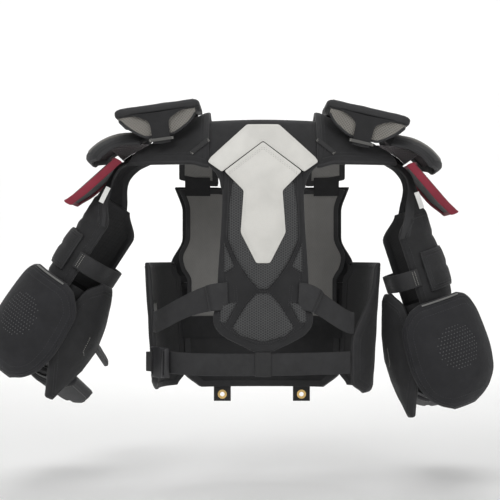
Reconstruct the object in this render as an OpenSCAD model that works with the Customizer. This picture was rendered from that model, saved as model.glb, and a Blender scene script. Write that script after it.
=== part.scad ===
// Ice hockey goalkeeper's shoulder pads: a chest and arm protector, as worn.
// The wearer looks along +Y, +Z is up and +X is the wearer's right-hand side. The origin is the middle of the
// neck opening, level with the back neckline. Everything is in millimetres.

/* [Torso] */
// Half width of the torso under the pads, below the arms
torso_half_w = 182; // [176:1:184]
// Half width across the shoulders
shoulder_half_w = 240; // [232:1:246]
// Half depth of the torso
torso_half_d = 108; // [100:1:114]
// Thickness of the yoke and of the spine pad
yoke_t = 10; // [8:0.5:10]
// Thickness of the chest block
chest_t = 18; // [14:1:20]

/* [Arms] */
// How far the wearer's left arm hangs away from the body, in degrees
left_spread = 33; // [20:1:36]
// How far the wearer's right arm hangs away from the body, in degrees
right_spread = 18; // [18:1:33]
// How far the point of the left elbow turns outward, in degrees
left_roll = 15; // [0:1:20]
// How far the point of the right elbow turns outward, in degrees
right_roll = 0; // [0:1:20]
// Bend of both elbows, in degrees
elbow_bend = 78; // [60:1:84]
// Distance from the shoulder joint to the elbow joint
upper_arm_l = 300; // [290:1:310]
// Length of the forearm sleeve
forearm_l = 220; // [190:1:240]

/* [Webbing] */
// Width of the elastic waist strap
strap_w = 36; // [30:1:38]
// Thickness of the elastic straps
strap_t = 2.6; // [2:0.1:3]

/* [Hidden] */

// ---- the torso that the pads are cut to ----
round_n = 2.6;            // 2 is an ellipse, more is squarer
mid_y = 4;                // the torso's middle, forward of the neck
arch_z = -150;            // above this height the torso closes over the shoulders
neck_rise = 45;           // where the slope of both shoulders would meet, above the neckline
shoulder_slope = 0.5;
seam = 1.5;               // gap between neighbouring panels
skin_gap = 0.6;           // gap between stacked layers
pad_in = 3;               // inner face of the pads, outside the torso
yoke_out = pad_in + yoke_t;

function mix(a, b, k) = a + (b - a) * k;
function power(x, e) = sign(x) * pow(abs(x), e);
function ease(k) = k <= 0 ? 0 : k >= 1 ? 1 : k * k * (3 - 2 * k);
function half_w(z) = torso_half_w + 0.06 * (z + 300)
    + (shoulder_half_w - torso_half_w - 6) * ease((z + 245) / 70);
function top_z(x) = neck_rise - shoulder_slope * (sqrt(x * x + 400) - 20);
// Depth of the torso's skin, t outside it, at a place across and a height
function arch(x, z, t) = z <= arch_z ? 1
    : sqrt(max(0, 1 - pow((z - arch_z) / (top_z(x) - arch_z + t), 2)));
function depth(x, z, t) = (torso_half_d + t)
    * pow(max(0, 1 - pow(abs(x) / (half_w(z) + t), round_n)), 1 / round_n) * arch(x, z, t);
function on_back(x, z, t) = [x, mid_y - depth(x, z, t), z];
function on_front(x, z, t) = [x, mid_y + depth(x, z, t), z];
// The same skin round the waist: angle 0 at the spine, 90 at the wearer's right side, 180 in front
function on_ring(a, z, t) = let (x = (half_w(z) + t) * power(sin(a), 2 / round_n))
    [x, mid_y - (torso_half_d + t) * power(cos(a), 2 / round_n) * arch(x, z, t), z];
// Over the shoulder: angle 0 at the back, 90 on top, 180 in front
function on_shoulder(x, a, t) = [x,
    mid_y - depth(x, arch_z, t) * cos(a),
    arch_z + (top_z(x) - arch_z + t) * sin(a)];

// Closed skin between two sheets. at(u, v, t) gives a point, with u and v from 0 to 1 and t 0 inside, 1 outside;
// u, v and outward are right-handed.
module shell(at, nu, nv) {
    sheet = (nu + 1) * (nv + 1);
    function id(t, i, j) = t * sheet + j * (nu + 1) + i;
    function quad(a, b, c, d) = [[a, d, c], [a, c, b]];
    polyhedron(
        [for (t = [0, 1], j = [0:nv], i = [0:nu]) at(i / nu, j / nv, t)],
        concat(
            [for (j = [0:nv - 1], i = [0:nu - 1])
                each quad(id(1, i, j), id(1, i + 1, j), id(1, i + 1, j + 1), id(1, i, j + 1))],
            [for (j = [0:nv - 1], i = [0:nu - 1])
                each quad(id(0, i, j), id(0, i, j + 1), id(0, i + 1, j + 1), id(0, i + 1, j))],
            [for (i = [0:nu - 1]) each quad(id(0, i, 0), id(0, i + 1, 0), id(1, i + 1, 0), id(1, i, 0))],
            [for (i = [0:nu - 1]) each quad(id(1, i, nv), id(1, i + 1, nv), id(0, i + 1, nv), id(0, i, nv))],
            [for (j = [0:nv - 1]) each quad(id(1, 0, j), id(1, 0, j + 1), id(0, 0, j + 1), id(0, 0, j))],
            [for (j = [0:nv - 1]) each quad(id(0, nu, j), id(0, nu, j + 1), id(1, nu, j + 1), id(1, nu, j))]));
}

// A panel on the back or front of the torso. half(z) is its half width, bottom(x) and top(x) its edges.
module back_panel(half, bottom, top, t_in, t_out, nu, nv, mid = function(z) 0) {
    shell(function(u, v, t) let (
        k = 2 * u - 1,
        z_row = mix(bottom(0), top(0), v),
        x = mid(z_row) + k * half(z_row),
        z = mix(bottom(x), top(x), v)) on_back(x, z, mix(t_in, t_out, t)), nu, nv);
}

module front_panel(half, bottom, top, t_in, t_out, nu, nv, mid = function(z) 0) {
    shell(function(u, v, t) let (
        k = 1 - 2 * u,
        z_row = mix(bottom(0), top(0), v),
        x = mid(z_row) + k * half(z_row),
        z = mix(bottom(x), top(x), v)) on_front(x, z, mix(t_in, t_out, t)), nu, nv);
}

// A panel round the torso between two angles
module ring_panel(from, to, bottom, top, t_in, t_out, nu, nv) {
    shell(function(u, v, t) let (
        z_mid = mix(bottom, top, v))
        on_ring(mix(from(z_mid), to(z_mid), u), z_mid, mix(t_in, t_out, t)), nu, nv);
}

module sided(side) {
    if (side < 0) mirror([1, 0, 0]) children();
    else children();
}

// ---- front ----
chest_top = -102;
chest_bottom = -268;
belly_split = -347;
belly_bottom = -452;
liner_out = 9;
plate_out = liner_out + skin_gap + 2.5;
chest_in = plate_out + skin_gap;
chest_out = chest_in + chest_t;
block_in = chest_out + skin_gap;
block_out = block_in + 11;
belly_angle = 43;
hinge_gap = 3;

chest_half = function(z)
    lookup(z, [[-268, 158], [-240, 160], [-195, 140], [-150, 140], [-120, 150], [-102, 158]]);

module chest_liner() {
    color("dimgray") front_panel(
        function(z) lookup(z, [[-344, 131], [-268, 131], [-250, 141], [-228, 146], [-195, 134], [-150, 134],
            [-106, 150]]),
        function(x) belly_split + hinge_gap, function(x) chest_top - 4 - 8 * (1 - pow(min(1, abs(x) / 75), 2)),
        pad_in, liner_out, 14, 14);
}

module heart_plate() {
    color("gainsboro") front_panel(function(z) mix(58, 74, ease((z + 250) / 110)),
        function(x) -245, function(x) -135, liner_out + skin_gap, plate_out, 10, 8);
}

module chest_shell() {
    color([0.16, 0.16, 0.17]) front_panel(chest_half, function(x) chest_bottom,
        function(x) chest_top - 8 * (1 - pow(min(1, abs(x) / 75), 2)), chest_in, chest_out, 14, 12);
}

module sternum_block() {
    color("gainsboro") front_panel(function(z) lookup(z, [[-258, 16], [-205, 36], [-150, 42], [-118, 30]]),
        function(x) -258, function(x) -120, block_in, block_out, 8, 10);
}

module pec_block(side) {
    color([0.16, 0.16, 0.17]) sided(side) front_panel(
        function(z) mix(44, 40, ease((z + 250) / 120)), function(x) -252, function(x) -124,
        block_in, block_out - 3, 8, 10,
        function(z) lookup(z, [[-252, 84], [-205, 88], [-150, 92], [-124, 94]]));
}

module belly_ring(bottom, top, t_in, t_out, inset, nv) {
    ring_panel(function(z) 180 - belly_angle + inset, function(z) 180 + belly_angle - inset,
        bottom, top, t_in, t_out, 14, nv);
}

module belly_upper() {
    color([0.16, 0.16, 0.17]) belly_ring(belly_split + hinge_gap / 2, chest_bottom - 2, chest_in, chest_out - 2, 0, 5);
}

module belly_lower() {
    color([0.16, 0.16, 0.17]) ring_panel(
        function(z) 180 - belly_angle + 14 * pow(ease((-410 - z) / 50), 2),
        function(z) 180 + belly_angle - 14 * pow(ease((-410 - z) / 50), 2),
        belly_bottom, belly_split - hinge_gap / 2, pad_in, chest_out - 4, 14, 8);
}

module belly_rib() {
    color([0.16, 0.16, 0.17]) belly_ring(-425, belly_split - 14, chest_out - 4 + skin_gap, chest_out + 5, 9, 5);
}

// ---- tie-down tabs with brass grommets, at the bottom of the apron ----
tab_x = 70;
tab_w = 30;
tab_t = 3;
tab_top = belly_bottom - 1;
tab_drop = 26;
grommet_r = 4;
grommet_flange = 8;
grommet_z = tab_top - 14;
tab_y = mid_y + depth(tab_x, belly_bottom, pad_in + 8);

module tie_down_tabs() {
    color("black") for (side = [-1, 1])
        translate([side * tab_x, tab_y, 0]) rotate([90, 0, 0]) linear_extrude(tab_t, center = true)
            difference() {
                translate([-tab_w / 2, tab_top - tab_drop]) square([tab_w, tab_drop]);
                translate([0, grommet_z]) circle(r = grommet_r + 1.5, $fn = 48);
            }
}

module grommets() {
    color("goldenrod") for (side = [-1, 1])
        translate([side * tab_x, tab_y, grommet_z]) rotate([90, 0, 0]) rotate_extrude($fn = 64)
            difference() {
                translate([grommet_r, -tab_t / 2 - 1]) square([grommet_flange - grommet_r, tab_t + 2]);
                translate([grommet_r + 1.4, -tab_t / 2 - 0.05]) square([grommet_flange, tab_t + 0.1]);
            }
}

// ---- flanks ----
wing_top = -234;
wing_bottom = -446;
wing_in = pad_in;
wing_out = 12;

// The wings' back edges: the buckle's side is cut further forward
wing_back = function(z, side) side < 0
    ? lookup(z, [[-446, 86], [-430, 79], [-340, 78], [-234, 88]])
    : lookup(z, [[-446, 60], [-430, 50], [-360, 48], [-314, 59], [-270, 76], [-234, 84]]);

module side_wing(side) {
    color([0.16, 0.16, 0.17]) sided(side) ring_panel(
        function(z) wing_back(z, side),
        function(z) 180 - belly_angle - 1 - 4 * ease((z + 262) / 14) - 8 * ease((-425 - z) / 22),
        wing_bottom, wing_top, wing_in, wing_out, 9, 12);
}

// ---- yoke ----
neck_x = 88;
yoke_end_x = 222;
yoke_back_z = -74;

spine_top = function(x) -39 - 0.775 * min(abs(x), 63);
back_yoke_bottom = function(x) spine_top(x) + seam + 0.45 * max(0, abs(x) - 64);
function shoulder_angle(x, z) = asin(min(1, (z - arch_z) / (top_z(x) - arch_z)));

module back_yoke() {
    color([0.16, 0.16, 0.17]) back_panel(function(z) neck_x - seam, back_yoke_bottom,
        function(x) 0, pad_in, yoke_out, 16, 6);
}

module yoke(side) {
    color([0.16, 0.16, 0.17]) sided(side) shell(function(u, v, t) let (
        x_in = mix(neck_x, 78, ease((v - 0.55) / 0.45)),
        x_out = lookup(v, [[0, yoke_end_x], [0.17, 212], [0.38, 142], [0.6, 142], [1, 144]]),
        x = mix(x_in, x_out, u),
        z_back = yoke_back_z - 6 * ease(1 - (x - neck_x) / 30),
        a = mix(shoulder_angle(x, z_back), 180 - shoulder_angle(x, max(chest_top + 2, mix(chest_top, -90, u))), v))
        on_shoulder(x, a, mix(pad_in, yoke_out, t)), 8, 18);
}

// ---- spine ----
spine_bottom = -374;
mesh_in = yoke_out + skin_gap / 2;
mesh_out = mesh_in + 4;

module spine_pad() {
    color([0.16, 0.16, 0.17]) back_panel(
        function(z) lookup(z, [[-374, 14], [-360, 42], [-350, 60], [-338, 72], [-325, 78], [-312, 80],
            [-261, 73], [-218, 71], [-120, 65.5], [-39, 64]]),
        function(x) spine_bottom, spine_top, pad_in, yoke_out, 10, 18);
}

module mesh_pad(half, bottom, top, nu, nv, mid = function(z) 0) {
    back_panel(half, bottom, top, mesh_in, mesh_out, nu, nv, mid);
}

module spine_mesh() {
    color("darkslategray") {
        mesh_pad(function(z) lookup(z, [[-276, 3], [-270, 10], [-255, 20], [-228, 38], [-196, 52], [-180, 56],
            [-140, 52], [-90, 48], [-45, 46]]),
            function(x) -278, function(x) spine_top(x) - 4, 8, 12);
        mesh_pad(function(z) lookup(z, [[-361, 4], [-356, 20], [-346, 38], [-336, 45], [-300, 24], [-279, 15]]),
            function(x) -362, function(x) -281, 8, 6);
        for (side = [-1, 1]) sided(side) {
            mesh_pad(function(z) lookup(z, [[-252, 7.5], [-240, 8], [-204, 1.5]]),
                function(x) -252, function(x) -203, 2, 4,
                function(z) lookup(z, [[-252, 53], [-240, 55], [-204, 63]]));
            mesh_pad(function(z) lookup(z, [[-331, 6], [-322, 8], [-311, 10]]),
                function(x) -331, function(x) -311, 3, 3,
                function(z) lookup(z, [[-331, 65], [-322, 62], [-311, 58]]));
        }
    }
}

plate_t = 1.6;
upper_plate_in = yoke_out + skin_gap / 2;
lower_plate_in = mesh_out + skin_gap / 2;

module spine_plate_upper() {
    color("gainsboro") back_panel(
        function(z) lookup(z, [[-88, 66], [-67, 82], [-64, 84], [-7, 24]]),
        function(x) back_yoke_bottom(x) + 1.5, function(x) -7,
        upper_plate_in, upper_plate_in + plate_t, 16, 8);
}

module spine_plate_lower() {
    color("gainsboro") back_panel(
        function(z) lookup(z, [[-234, 11], [-184, 36], [-117, 31], [-104, 42], [-86, 60], [-40, 62]]),
        function(x) -234, function(x) spine_top(x) - 1,
        lower_plate_in, lower_plate_in + plate_t, 10, 18);
}

// ---- webbing loops that the arm laces tie to ----
module lace_loops() {
    color("black") for (side = [-1, 1]) sided(side)
        shell(function(u, v, t) let (
            along = mix(-17, 17, u),
            across = mix(-3.5, 3.5, v),
            x = 87 + 15 + along * 0.78 + across * 0.62,
            z = -44 - along * 0.62 + across * 0.78)
            on_back(x, z, mix(yoke_out + skin_gap / 2, yoke_out + 2.4, t)), 4, 1);
}

// ---- straps ----
waist_z = -396;
waist_in = pad_in;
waist_out = waist_in + strap_t;
clip_angle = 57;

module diagonal_strap(side) {
    // from the pad, off its edge and down round the torso to the flank
    color("black") sided(side) shell(function(u, v, t) let (
        a = mix(11.5, side < 0 ? 76.5 : 49, u),
        x_mid = (half_w(-300) + 8) * power(sin(a), 2 / round_n),
        z_mid = mix(-286, -331, ease(pow(u, 0.9))),
        w = mix(45, 35, ease(u * 2.2)),
        on_pad = ease((92 - x_mid) / 12),
        t_in = mix(pad_in, yoke_out + skin_gap / 2, on_pad))
        on_ring(a, z_mid + (v - 0.5) * w, t_in + strap_t * t), 16, 2);
}

module waist_strap() {
    color("black") shell(function(u, v, t)
        on_ring(mix(-clip_angle, 47, u), waist_z + (v - 0.5) * strap_w, mix(waist_in, waist_out, t)), 30, 2);
}

keeper_w = 26;
keeper_t = 1.6;

module strap_keeper() {
    // a flat webbing loop under the tip of the spine pad, round the waist strap
    y_skin = mid_y - torso_half_d;
    color("black") translate([-keeper_w / 2, 0, 0]) rotate([90, 0, 90]) linear_extrude(keeper_w)
        difference() {
            translate([y_skin - waist_out - 1 - keeper_t, waist_z - strap_w / 2 - 1 - keeper_t])
                square([waist_out - waist_in + 2 + 2 * keeper_t, -waist_z + spine_bottom + strap_w / 2 + keeper_t - 1]);
            translate([y_skin - waist_out - 1, waist_z - strap_w / 2 - 1])
                square([waist_out - waist_in + 2, strap_w + 2]);
        }
}

// ---- side-release buckle at the wearer's left flank ----
buckle_w = 50;            // across the strap
buckle_t = 9;
housing_l = 30;
clip_pull = 30;
buckle_place = on_ring(-clip_angle, waist_z, waist_in + 8);
// The strap's direction at the buckle, in plan, pointing to the spine
function heading(a) = let (p = on_ring(a + 1, waist_z, 6), q = on_ring(a - 1, waist_z, 6))
    atan2(p.y - q.y, p.x - q.x);
buckle_turn = heading(-clip_angle - 6);

// Local frame: +x along the strap to the spine, +y into the wearer, z up; the mouth is at x 0
module in_buckle() {
    translate(buckle_place) rotate([0, 0, buckle_turn]) children();
}

module slab(from, to) {
    translate(from) cube(to - from);
}

module buckle_housing() {
    w = buckle_w / 2;
    t = buckle_t / 2;
    color("black") in_buckle() {
        difference() {
            slab([-housing_l, -t, -w], [0, t, w]);
            // cavity open at the mouth and at both side windows
            slab([-housing_l + 8, -t + 1.8, -w + 4], [1, t - 1.8, w - 4]);
            slab([-housing_l + 12, -t + 1.8, -w - 1], [-8, t - 1.8, w + 1]);
            // webbing slot
            slab([-housing_l + 2.5, -t - 1, -w + 5.5], [-housing_l + 5.5, t + 1, w - 5.5]);
        }
    }
}

module buckle_clip() {
    w = buckle_w / 2;
    t = buckle_t / 2;
    color("black") in_buckle() difference() {
        union() {
            slab([0.6, -t, -w + 1], [14, t, w - 1]);
            slab([-16, -t + 2.4, -4], [0.6, t - 2.4, 4]);
        }
        slab([8, -t - 1, -w + 5.5], [11, t + 1, w - 5.5]);
    }
}

prong_root_z = 15;

module buckle_prong(side) {
    t = buckle_t / 2 - 2.4;
    color("black") in_buckle() rotate([-90, 0, 0]) linear_extrude(2 * t, center = true)
        scale([1, -side]) polygon([[0.2, prong_root_z - 2], [0.2, prong_root_z + 2.5], [-8, prong_root_z + 4.8],
            [-16, prong_root_z + 4.8], [-19, prong_root_z + 2], [-19, prong_root_z], [-14, prong_root_z]]);
}

module buckle_anchor() {
    // the webbing that ties the housing to the flank
    color("black") in_buckle() difference() {
        slab([-housing_l - 12, -buckle_t / 2 - 2.6, -16], [-housing_l + 4.9, buckle_t / 2 + 2.6, 16]);
        slab([-housing_l - 9, -buckle_t / 2 - 0.6, -17], [-housing_l + 2.8, buckle_t / 2 + 0.6, 17]);
    }
}

// ---- arms ----
arm_x = 190;
arm_z = -105;
arm_mid = 12;             // the sleeve's middle, outside the shoulder joint
sleeve_in = 46;
sleeve_out = 56;
guard_out = 64;

function spread(side) = side < 0 ? left_spread : right_spread;
function roll(side) = side < 0 ? left_roll : right_roll;

// Frames are drawn for the wearer's right side: +x outward, +y forward, -z down the arm
module on_shoulder_joint(side) {
    sided(side) translate([arm_x, 0, arm_z]) children();
}

module on_cap(side) {
    on_shoulder_joint(side) rotate([0, -spread(side) / 2, 0]) children();
}

module on_arm(side) {
    on_shoulder_joint(side) rotate([0, -spread(side), 0]) rotate([0, 0, roll(side)]) children();
}

module on_forearm(side) {
    on_arm(side) translate([0, 0, -upper_arm_l]) rotate([elbow_bend, 0, 0]) children();
}

// A curved panel round a limb. Angle 0 is outward, -90 the back, 180 the inner side; from(d) and to(d) are its
// edges at a distance d down the limb, and r_in(d) and r_out(d) its faces.
module gutter(from, to, bottom, top, r_in, r_out, nu, nv) {
    shell(function(u, v, t) let (
        d = mix(bottom, top, v),
        a = mix(from(d), to(d), u),
        r = mix(r_in(d, a), r_out(d, a), t))
        [arm_mid + r * cos(a), r * sin(a), -d], nu, nv);
}

// ---- floaters: a capped board over a mesh cup ----
floater_x = 100;
floater_z = 24;
floater_l = 142;
floater_back = -80;
floater_front = 76;
board_t = 13;
cup_wall = 5;

module on_floater(side) {
    sided(side) translate([floater_x, 0, floater_z]) rotate([0, 18.6 - 0.32 * spread(side), 0]) children();
}

module floater_board(side) {
    r = 16;
    color([0.16, 0.16, 0.17]) on_floater(side) hull() for (x = [4 + r, floater_l - r])
        for (y = [floater_back + r, floater_front - r]) translate([x, y, 0]) {
            cylinder(r = r, h = board_t - 4, $fn = 32);
            cylinder(r = r - 4, h = board_t, $fn = 32);
        }
}

// The cup hangs from the board: an open-bottomed wall, deeper in the middle of its back and front
module floater_cup(side) {
    x_in = 8;
    x_out = floater_l - 4;
    color("gray") on_floater(side) shell(function(u, v, t) let (
        // one lap from the inner back corner, along the back, the outer end and the front
        run = u * 3,
        inset = (1 - t) * cup_wall,
        corner = 10 + inset,
        x = run < 1 ? mix(x_in, x_out, run) : run < 2 ? x_out : mix(x_out, x_in, run - 2),
        y = run < 1 ? floater_back + 3 : run < 2 ? mix(floater_back + 3, floater_front - 3, run - 1)
            : floater_front - 3,
        k = run < 1 ? run : run < 2 ? 1 : 3 - run,
        skirt = lookup(k, [[0, 10], [0.16, 28], [0.38, 40], [0.66, 40], [0.84, 27], [1, 8]]),
        drop = run < 1 ? skirt : run < 2 ? 8 : 8 + 0.4 * (skirt - 8),
        y_in = run <= 1 ? inset : run >= 2 ? -inset : inset * (3 - 2 * run),
        x_shift = run <= 1 ? -inset * ease((run - 0.9) / 0.1) : run >= 2 ? -inset * ease((2.1 - run) / 0.1) : -inset)
        [x + x_shift, y + y_in, mix(-0.5 - drop, -0.5, v)], 36, 4);
}

// The strap that ties the cup's tongue to the yoke, over the webbing bar
module floater_strap(side) {
    color("black") on_floater(side) {
        translate([57, floater_back - 3, -52]) cube([30, 2.4, 46]);
        translate([52, floater_back - 5.4, -50]) cube([40, 2.4, 7]);
    }
}

// ---- shoulder caps and the red-edged wings under them ----
cap_half = 62;
cap_t = 8;
function cap_r(v) = lookup(v, [[3, 106], [7, 116], [12, 118], [20, 115], [40, 104], [57, 94], [78, 88]]);

module shoulder_cap(side) {
    color([0.3, 0.3, 0.29]) on_cap(side) shell(function(u, v, t) let (
        y = mix(-1, 1, u),
        a = mix(78 - 14 * y * y, 3 + 8 * y * y, v),
        r = (cap_r(a) - (1 - t) * cap_t) * (1 - 0.2 * y * y))
        [r * cos(a), y * cap_half, r * sin(a)], 12, 14);
}

wing_t = 12;
wing_half = 58;

module bicep_wing(side) {
    // placed on the arm at its resting spread, and turned with the cap
    color([0.5, 0.17, 0.23]) on_cap(side) rotate([0, -wing_set, 0]) shell(function(u, v, t) let (
        y = mix(-1, 1, u) * (1 - 0.25 * pow(ease((v - 0.6) / 0.4), 2)),
        p = mix(71, 106, v) - 10 * y * y + (t - 0.5) * wing_t,
        d = mix(-12, 90, v))
        [p, y * wing_half, -d], 8, 8);
}
wing_set = 12.75;         // the wing's own lift above the cap's

module shoulder_sling(side) {
    // a webbing loop round the joint, which the sleeve hangs from
    color("black") on_shoulder_joint(side) rotate([90, 0, 0]) difference() {
        cylinder(r = 25, h = 38, center = true, $fn = 64);
        cylinder(r = 22, h = 40, center = true, $fn = 64);
    }
}

// ---- upper arm ----
sleeve_top = 58;
sleeve_bottom = 238;

module arm_sleeve(side) {
    color([0.16, 0.16, 0.17]) on_arm(side) gutter(
        function(d) -96 + 30 * ease((95 - d) / 40), function(d) 118 - 40 * ease((95 - d) / 40),
        sleeve_bottom, sleeve_top, function(d, a) sleeve_in, function(d, a) sleeve_out, 14, 10);
}

module bicep_guard(side) {
    color([0.16, 0.16, 0.17]) on_arm(side) gutter(function(d) -72, function(d) 72, 194, 127,
        function(d, a) sleeve_out + skin_gap, function(d, a) guard_out - 3 * pow(a / 72, 4), 12, 6);
}

module bicep_strap(side) {
    // pulled straight across the sleeve's open side
    face = function(a) sleeve_out + skin_gap - 17 * pow(sin(min(180, max(0, (a - 120) * 180 / 142))), 2);
    color("black") on_arm(side) gutter(function(d) 108, function(d) 276, 180, 150,
        function(d, a) face(a), function(d, a) face(a) + strap_t, 20, 2);
}

module care_label(side) {
    color("white") on_cap(side) translate([60, -62, -50]) rotate([0, -10, 0]) cube([8, 0.8, 28]);
}

// ---- elbow ----
cup_pitch = 39;           // the cup is cut for an arm bent twice this far
cup_top = 207;
cup_bottom = 391;

module on_elbow_cup(side) {
    on_arm(side) translate([0, 0, -upper_arm_l]) rotate([(elbow_bend / 2 - cup_pitch) * 0.3, 0, 0]) children();
}

module elbow_cup(side) {
    function cup_r(d) = lookup(d, [[207, 82], [225, 87], [300, 91], [340, 87], [365, 76], [380, 64], [391, 50]]);
    color([0.16, 0.16, 0.17]) on_elbow_cup(side) translate([0, 0, upper_arm_l]) shell(function(u, v, t) let (
        d = mix(cup_bottom, cup_top, v),
        half = lookup(d, [[207, 26], [215, 40], [250, 56], [310, 58], [350, 54], [375, 44], [391, 24]]),
        a = -72 + mix(-half, half, u),
        r = cup_r(d) - (1 - t) * 7)
        [arm_mid + r * cos(a), r * sin(a), -d], 12, 14);
}

module elbow_wing(side) {
    // stands off the arm on its inner side, and tucks under the cup at the back
    face = function(d, a) lookup(d, [[178, 50], [200, 58], [250, 74], [285, 80]]) + 8 * ease((240 - a) / 40);
    color([0.16, 0.16, 0.17]) on_arm(side) gutter(
        function(d) lookup(d, [[178, 176], [200, 164], [260, 160], [320, 172], [352, 186], [384, 196]]),
        function(d) lookup(d, [[178, 206], [205, 232], [250, 240], [300, 237], [330, 227], [350, 220], [384, 206]]),
        384, 178, function(d, a) face(d, a) - 9, function(d, a) face(d, a), 10, 12);
}

// ---- forearm, drawn straight down from the elbow ----
forearm_top = 64;
forearm_in = 50;
forearm_out = 60;

module forearm_sleeve(side) {
    // cut away in the crook of the elbow
    color([0.16, 0.16, 0.17]) on_forearm(side) gutter(function(d) -150,
        function(d) 150 - 100 * ease((forearm_top + 36 - d) / 30), forearm_top + forearm_l, forearm_top,
        function(d, a) forearm_in - 8 * (d - forearm_top) / forearm_l,
        function(d, a) forearm_out - 8 * (d - forearm_top) / forearm_l, 18, 6);
}

module forearm_guard(side) {
    color([0.16, 0.16, 0.17]) on_forearm(side) gutter(
        function(d) -155 + 20 * ease((d - 230) / 50), function(d) 20 - 20 * ease((d - 230) / 50),
        forearm_top + forearm_l - 6, forearm_top + 34,
        function(d, a) forearm_out + skin_gap - 8 * (d - forearm_top) / forearm_l,
        function(d, a) forearm_out + 13 - 8 * (d - forearm_top) / forearm_l, 12, 8);
}

module forearm_strap(side) {
    // a webbing loop at the elbow end, with a flat slide on its inner, lower side
    r = forearm_out + skin_gap;
    color("black") on_forearm(side) {
        gutter(function(d) -170, function(d) 45, forearm_top + 30, forearm_top + 5,
            function(d, a) r, function(d, a) r + 2.2, 20, 2);
        translate([arm_mid, 0, 0]) rotate([0, 0, -132]) translate([r + 1, -16, -forearm_top - 31])
            difference() {
                cube([5, 32, 27]);
                for (z = [5, 17]) translate([-1, 4, z]) cube([6, 24, 5]);
            }
    }
}

chest_liner();
heart_plate();
chest_shell();
sternum_block();
pec_block(-1);  // pec_block_left
pec_block(1);  // pec_block_right
belly_upper();
belly_lower();
belly_rib();
tie_down_tabs();
grommets();
side_wing(-1);  // side_wing_left
side_wing(1);  // side_wing_right
yoke(-1);  // yoke_left
yoke(1);  // yoke_right
back_yoke();
spine_pad();
spine_mesh();
spine_plate_upper();
spine_plate_lower();
lace_loops();
diagonal_strap(-1);  // diagonal_strap_left
diagonal_strap(1);  // diagonal_strap_right
waist_strap();
strap_keeper();
buckle_anchor();
buckle_housing();
buckle_clip();
buckle_prong(1);  // buckle_prong_upper
buckle_prong(-1);  // buckle_prong_lower
floater_board(-1);  // floater_board_left
floater_board(1);  // floater_board_right
floater_cup(-1);  // floater_cup_left
floater_cup(1);  // floater_cup_right
floater_strap(-1);  // floater_strap_left
floater_strap(1);  // floater_strap_right
shoulder_sling(-1);  // shoulder_sling_left
shoulder_sling(1);  // shoulder_sling_right
shoulder_cap(-1);  // shoulder_cap_left
shoulder_cap(1);  // shoulder_cap_right
bicep_wing(-1);  // bicep_wing_left
bicep_wing(1);  // bicep_wing_right
arm_sleeve(-1);  // arm_sleeve_left
arm_sleeve(1);  // arm_sleeve_right
bicep_guard(-1);  // bicep_guard_left
bicep_guard(1);  // bicep_guard_right
bicep_strap(-1);  // bicep_strap_left
bicep_strap(1);  // bicep_strap_right
elbow_cup(-1);  // elbow_cup_left
elbow_cup(1);  // elbow_cup_right
elbow_wing(-1);  // elbow_wing_left
elbow_wing(1);  // elbow_wing_right
care_label(-1);  // care_label_left
care_label(1);  // care_label_right
forearm_sleeve(-1);  // forearm_sleeve_left
forearm_sleeve(1);  // forearm_sleeve_right
forearm_guard(-1);  // forearm_guard_left
forearm_guard(1);  // forearm_guard_right
forearm_strap(-1);  // forearm_strap_left
forearm_strap(1);  // forearm_strap_right
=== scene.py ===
"""Looks for the goalkeeper's chest and arm protector. Shapes are worked out in millimetres."""
import math

import bmesh
import bpy
import numpy as np
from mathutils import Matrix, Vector


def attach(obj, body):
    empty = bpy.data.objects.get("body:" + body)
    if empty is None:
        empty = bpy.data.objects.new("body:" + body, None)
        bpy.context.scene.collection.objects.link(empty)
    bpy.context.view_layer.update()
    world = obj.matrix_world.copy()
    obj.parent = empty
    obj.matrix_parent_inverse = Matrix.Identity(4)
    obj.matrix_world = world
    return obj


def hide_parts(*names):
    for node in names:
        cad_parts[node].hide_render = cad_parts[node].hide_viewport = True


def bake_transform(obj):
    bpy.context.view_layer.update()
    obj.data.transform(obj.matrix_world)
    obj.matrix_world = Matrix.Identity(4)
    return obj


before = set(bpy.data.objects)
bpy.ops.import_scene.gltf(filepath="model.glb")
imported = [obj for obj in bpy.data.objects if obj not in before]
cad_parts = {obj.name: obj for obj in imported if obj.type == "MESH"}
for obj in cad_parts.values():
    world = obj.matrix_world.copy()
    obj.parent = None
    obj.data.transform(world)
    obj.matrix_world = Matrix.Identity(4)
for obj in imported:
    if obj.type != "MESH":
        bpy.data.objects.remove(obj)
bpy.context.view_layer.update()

MM = 0.001
WELD = 2e-6
LEFT, RIGHT = -1, 1
SIDE_NAME = {LEFT: "left", RIGHT: "right"}

# ---- the torso that the pads are cut to, as in the CAD ----
TORSO_HALF_W, SHOULDER_HALF_W, TORSO_HALF_D = 182.0, 240.0, 108.0
ROUND, MID_Y, ARCH_Z = 2.6, 4.0, -150.0
PAD_IN, YOKE_OUT = 3.0, 13.0


def ease(k):
    k = np.clip(k, 0, 1)
    return k * k * (3 - 2 * k)


def mix(a, b, k):
    return a + (b - a) * k


def power(x, e):
    return np.sign(x) * np.abs(x) ** e


def curve(x, points):
    """Smooth value through (x, value) points, flat where they are, with no overshoot."""
    p = np.array(sorted(points), float)
    xs, ys = p[:, 0], p[:, 1]
    h, d = np.diff(xs), np.diff(ys) / np.diff(xs)
    m = np.zeros(len(xs))
    for i in range(1, len(xs) - 1):
        if d[i - 1] * d[i] > 0:
            m[i] = 2 * d[i - 1] * d[i] / (d[i - 1] + d[i])
    m[0], m[-1] = d[0], d[-1]
    x = np.clip(x, xs[0], xs[-1])
    i = np.clip(np.searchsorted(xs, x, side="right") - 1, 0, len(h) - 1)
    k = (x - xs[i]) / h[i]
    return (
        (2 * k**3 - 3 * k**2 + 1) * ys[i]
        + (k**3 - 2 * k**2 + k) * h[i] * m[i]
        + (3 * k**2 - 2 * k**3) * ys[i + 1]
        + (k**3 - k**2) * h[i] * m[i + 1]
    )


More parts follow.
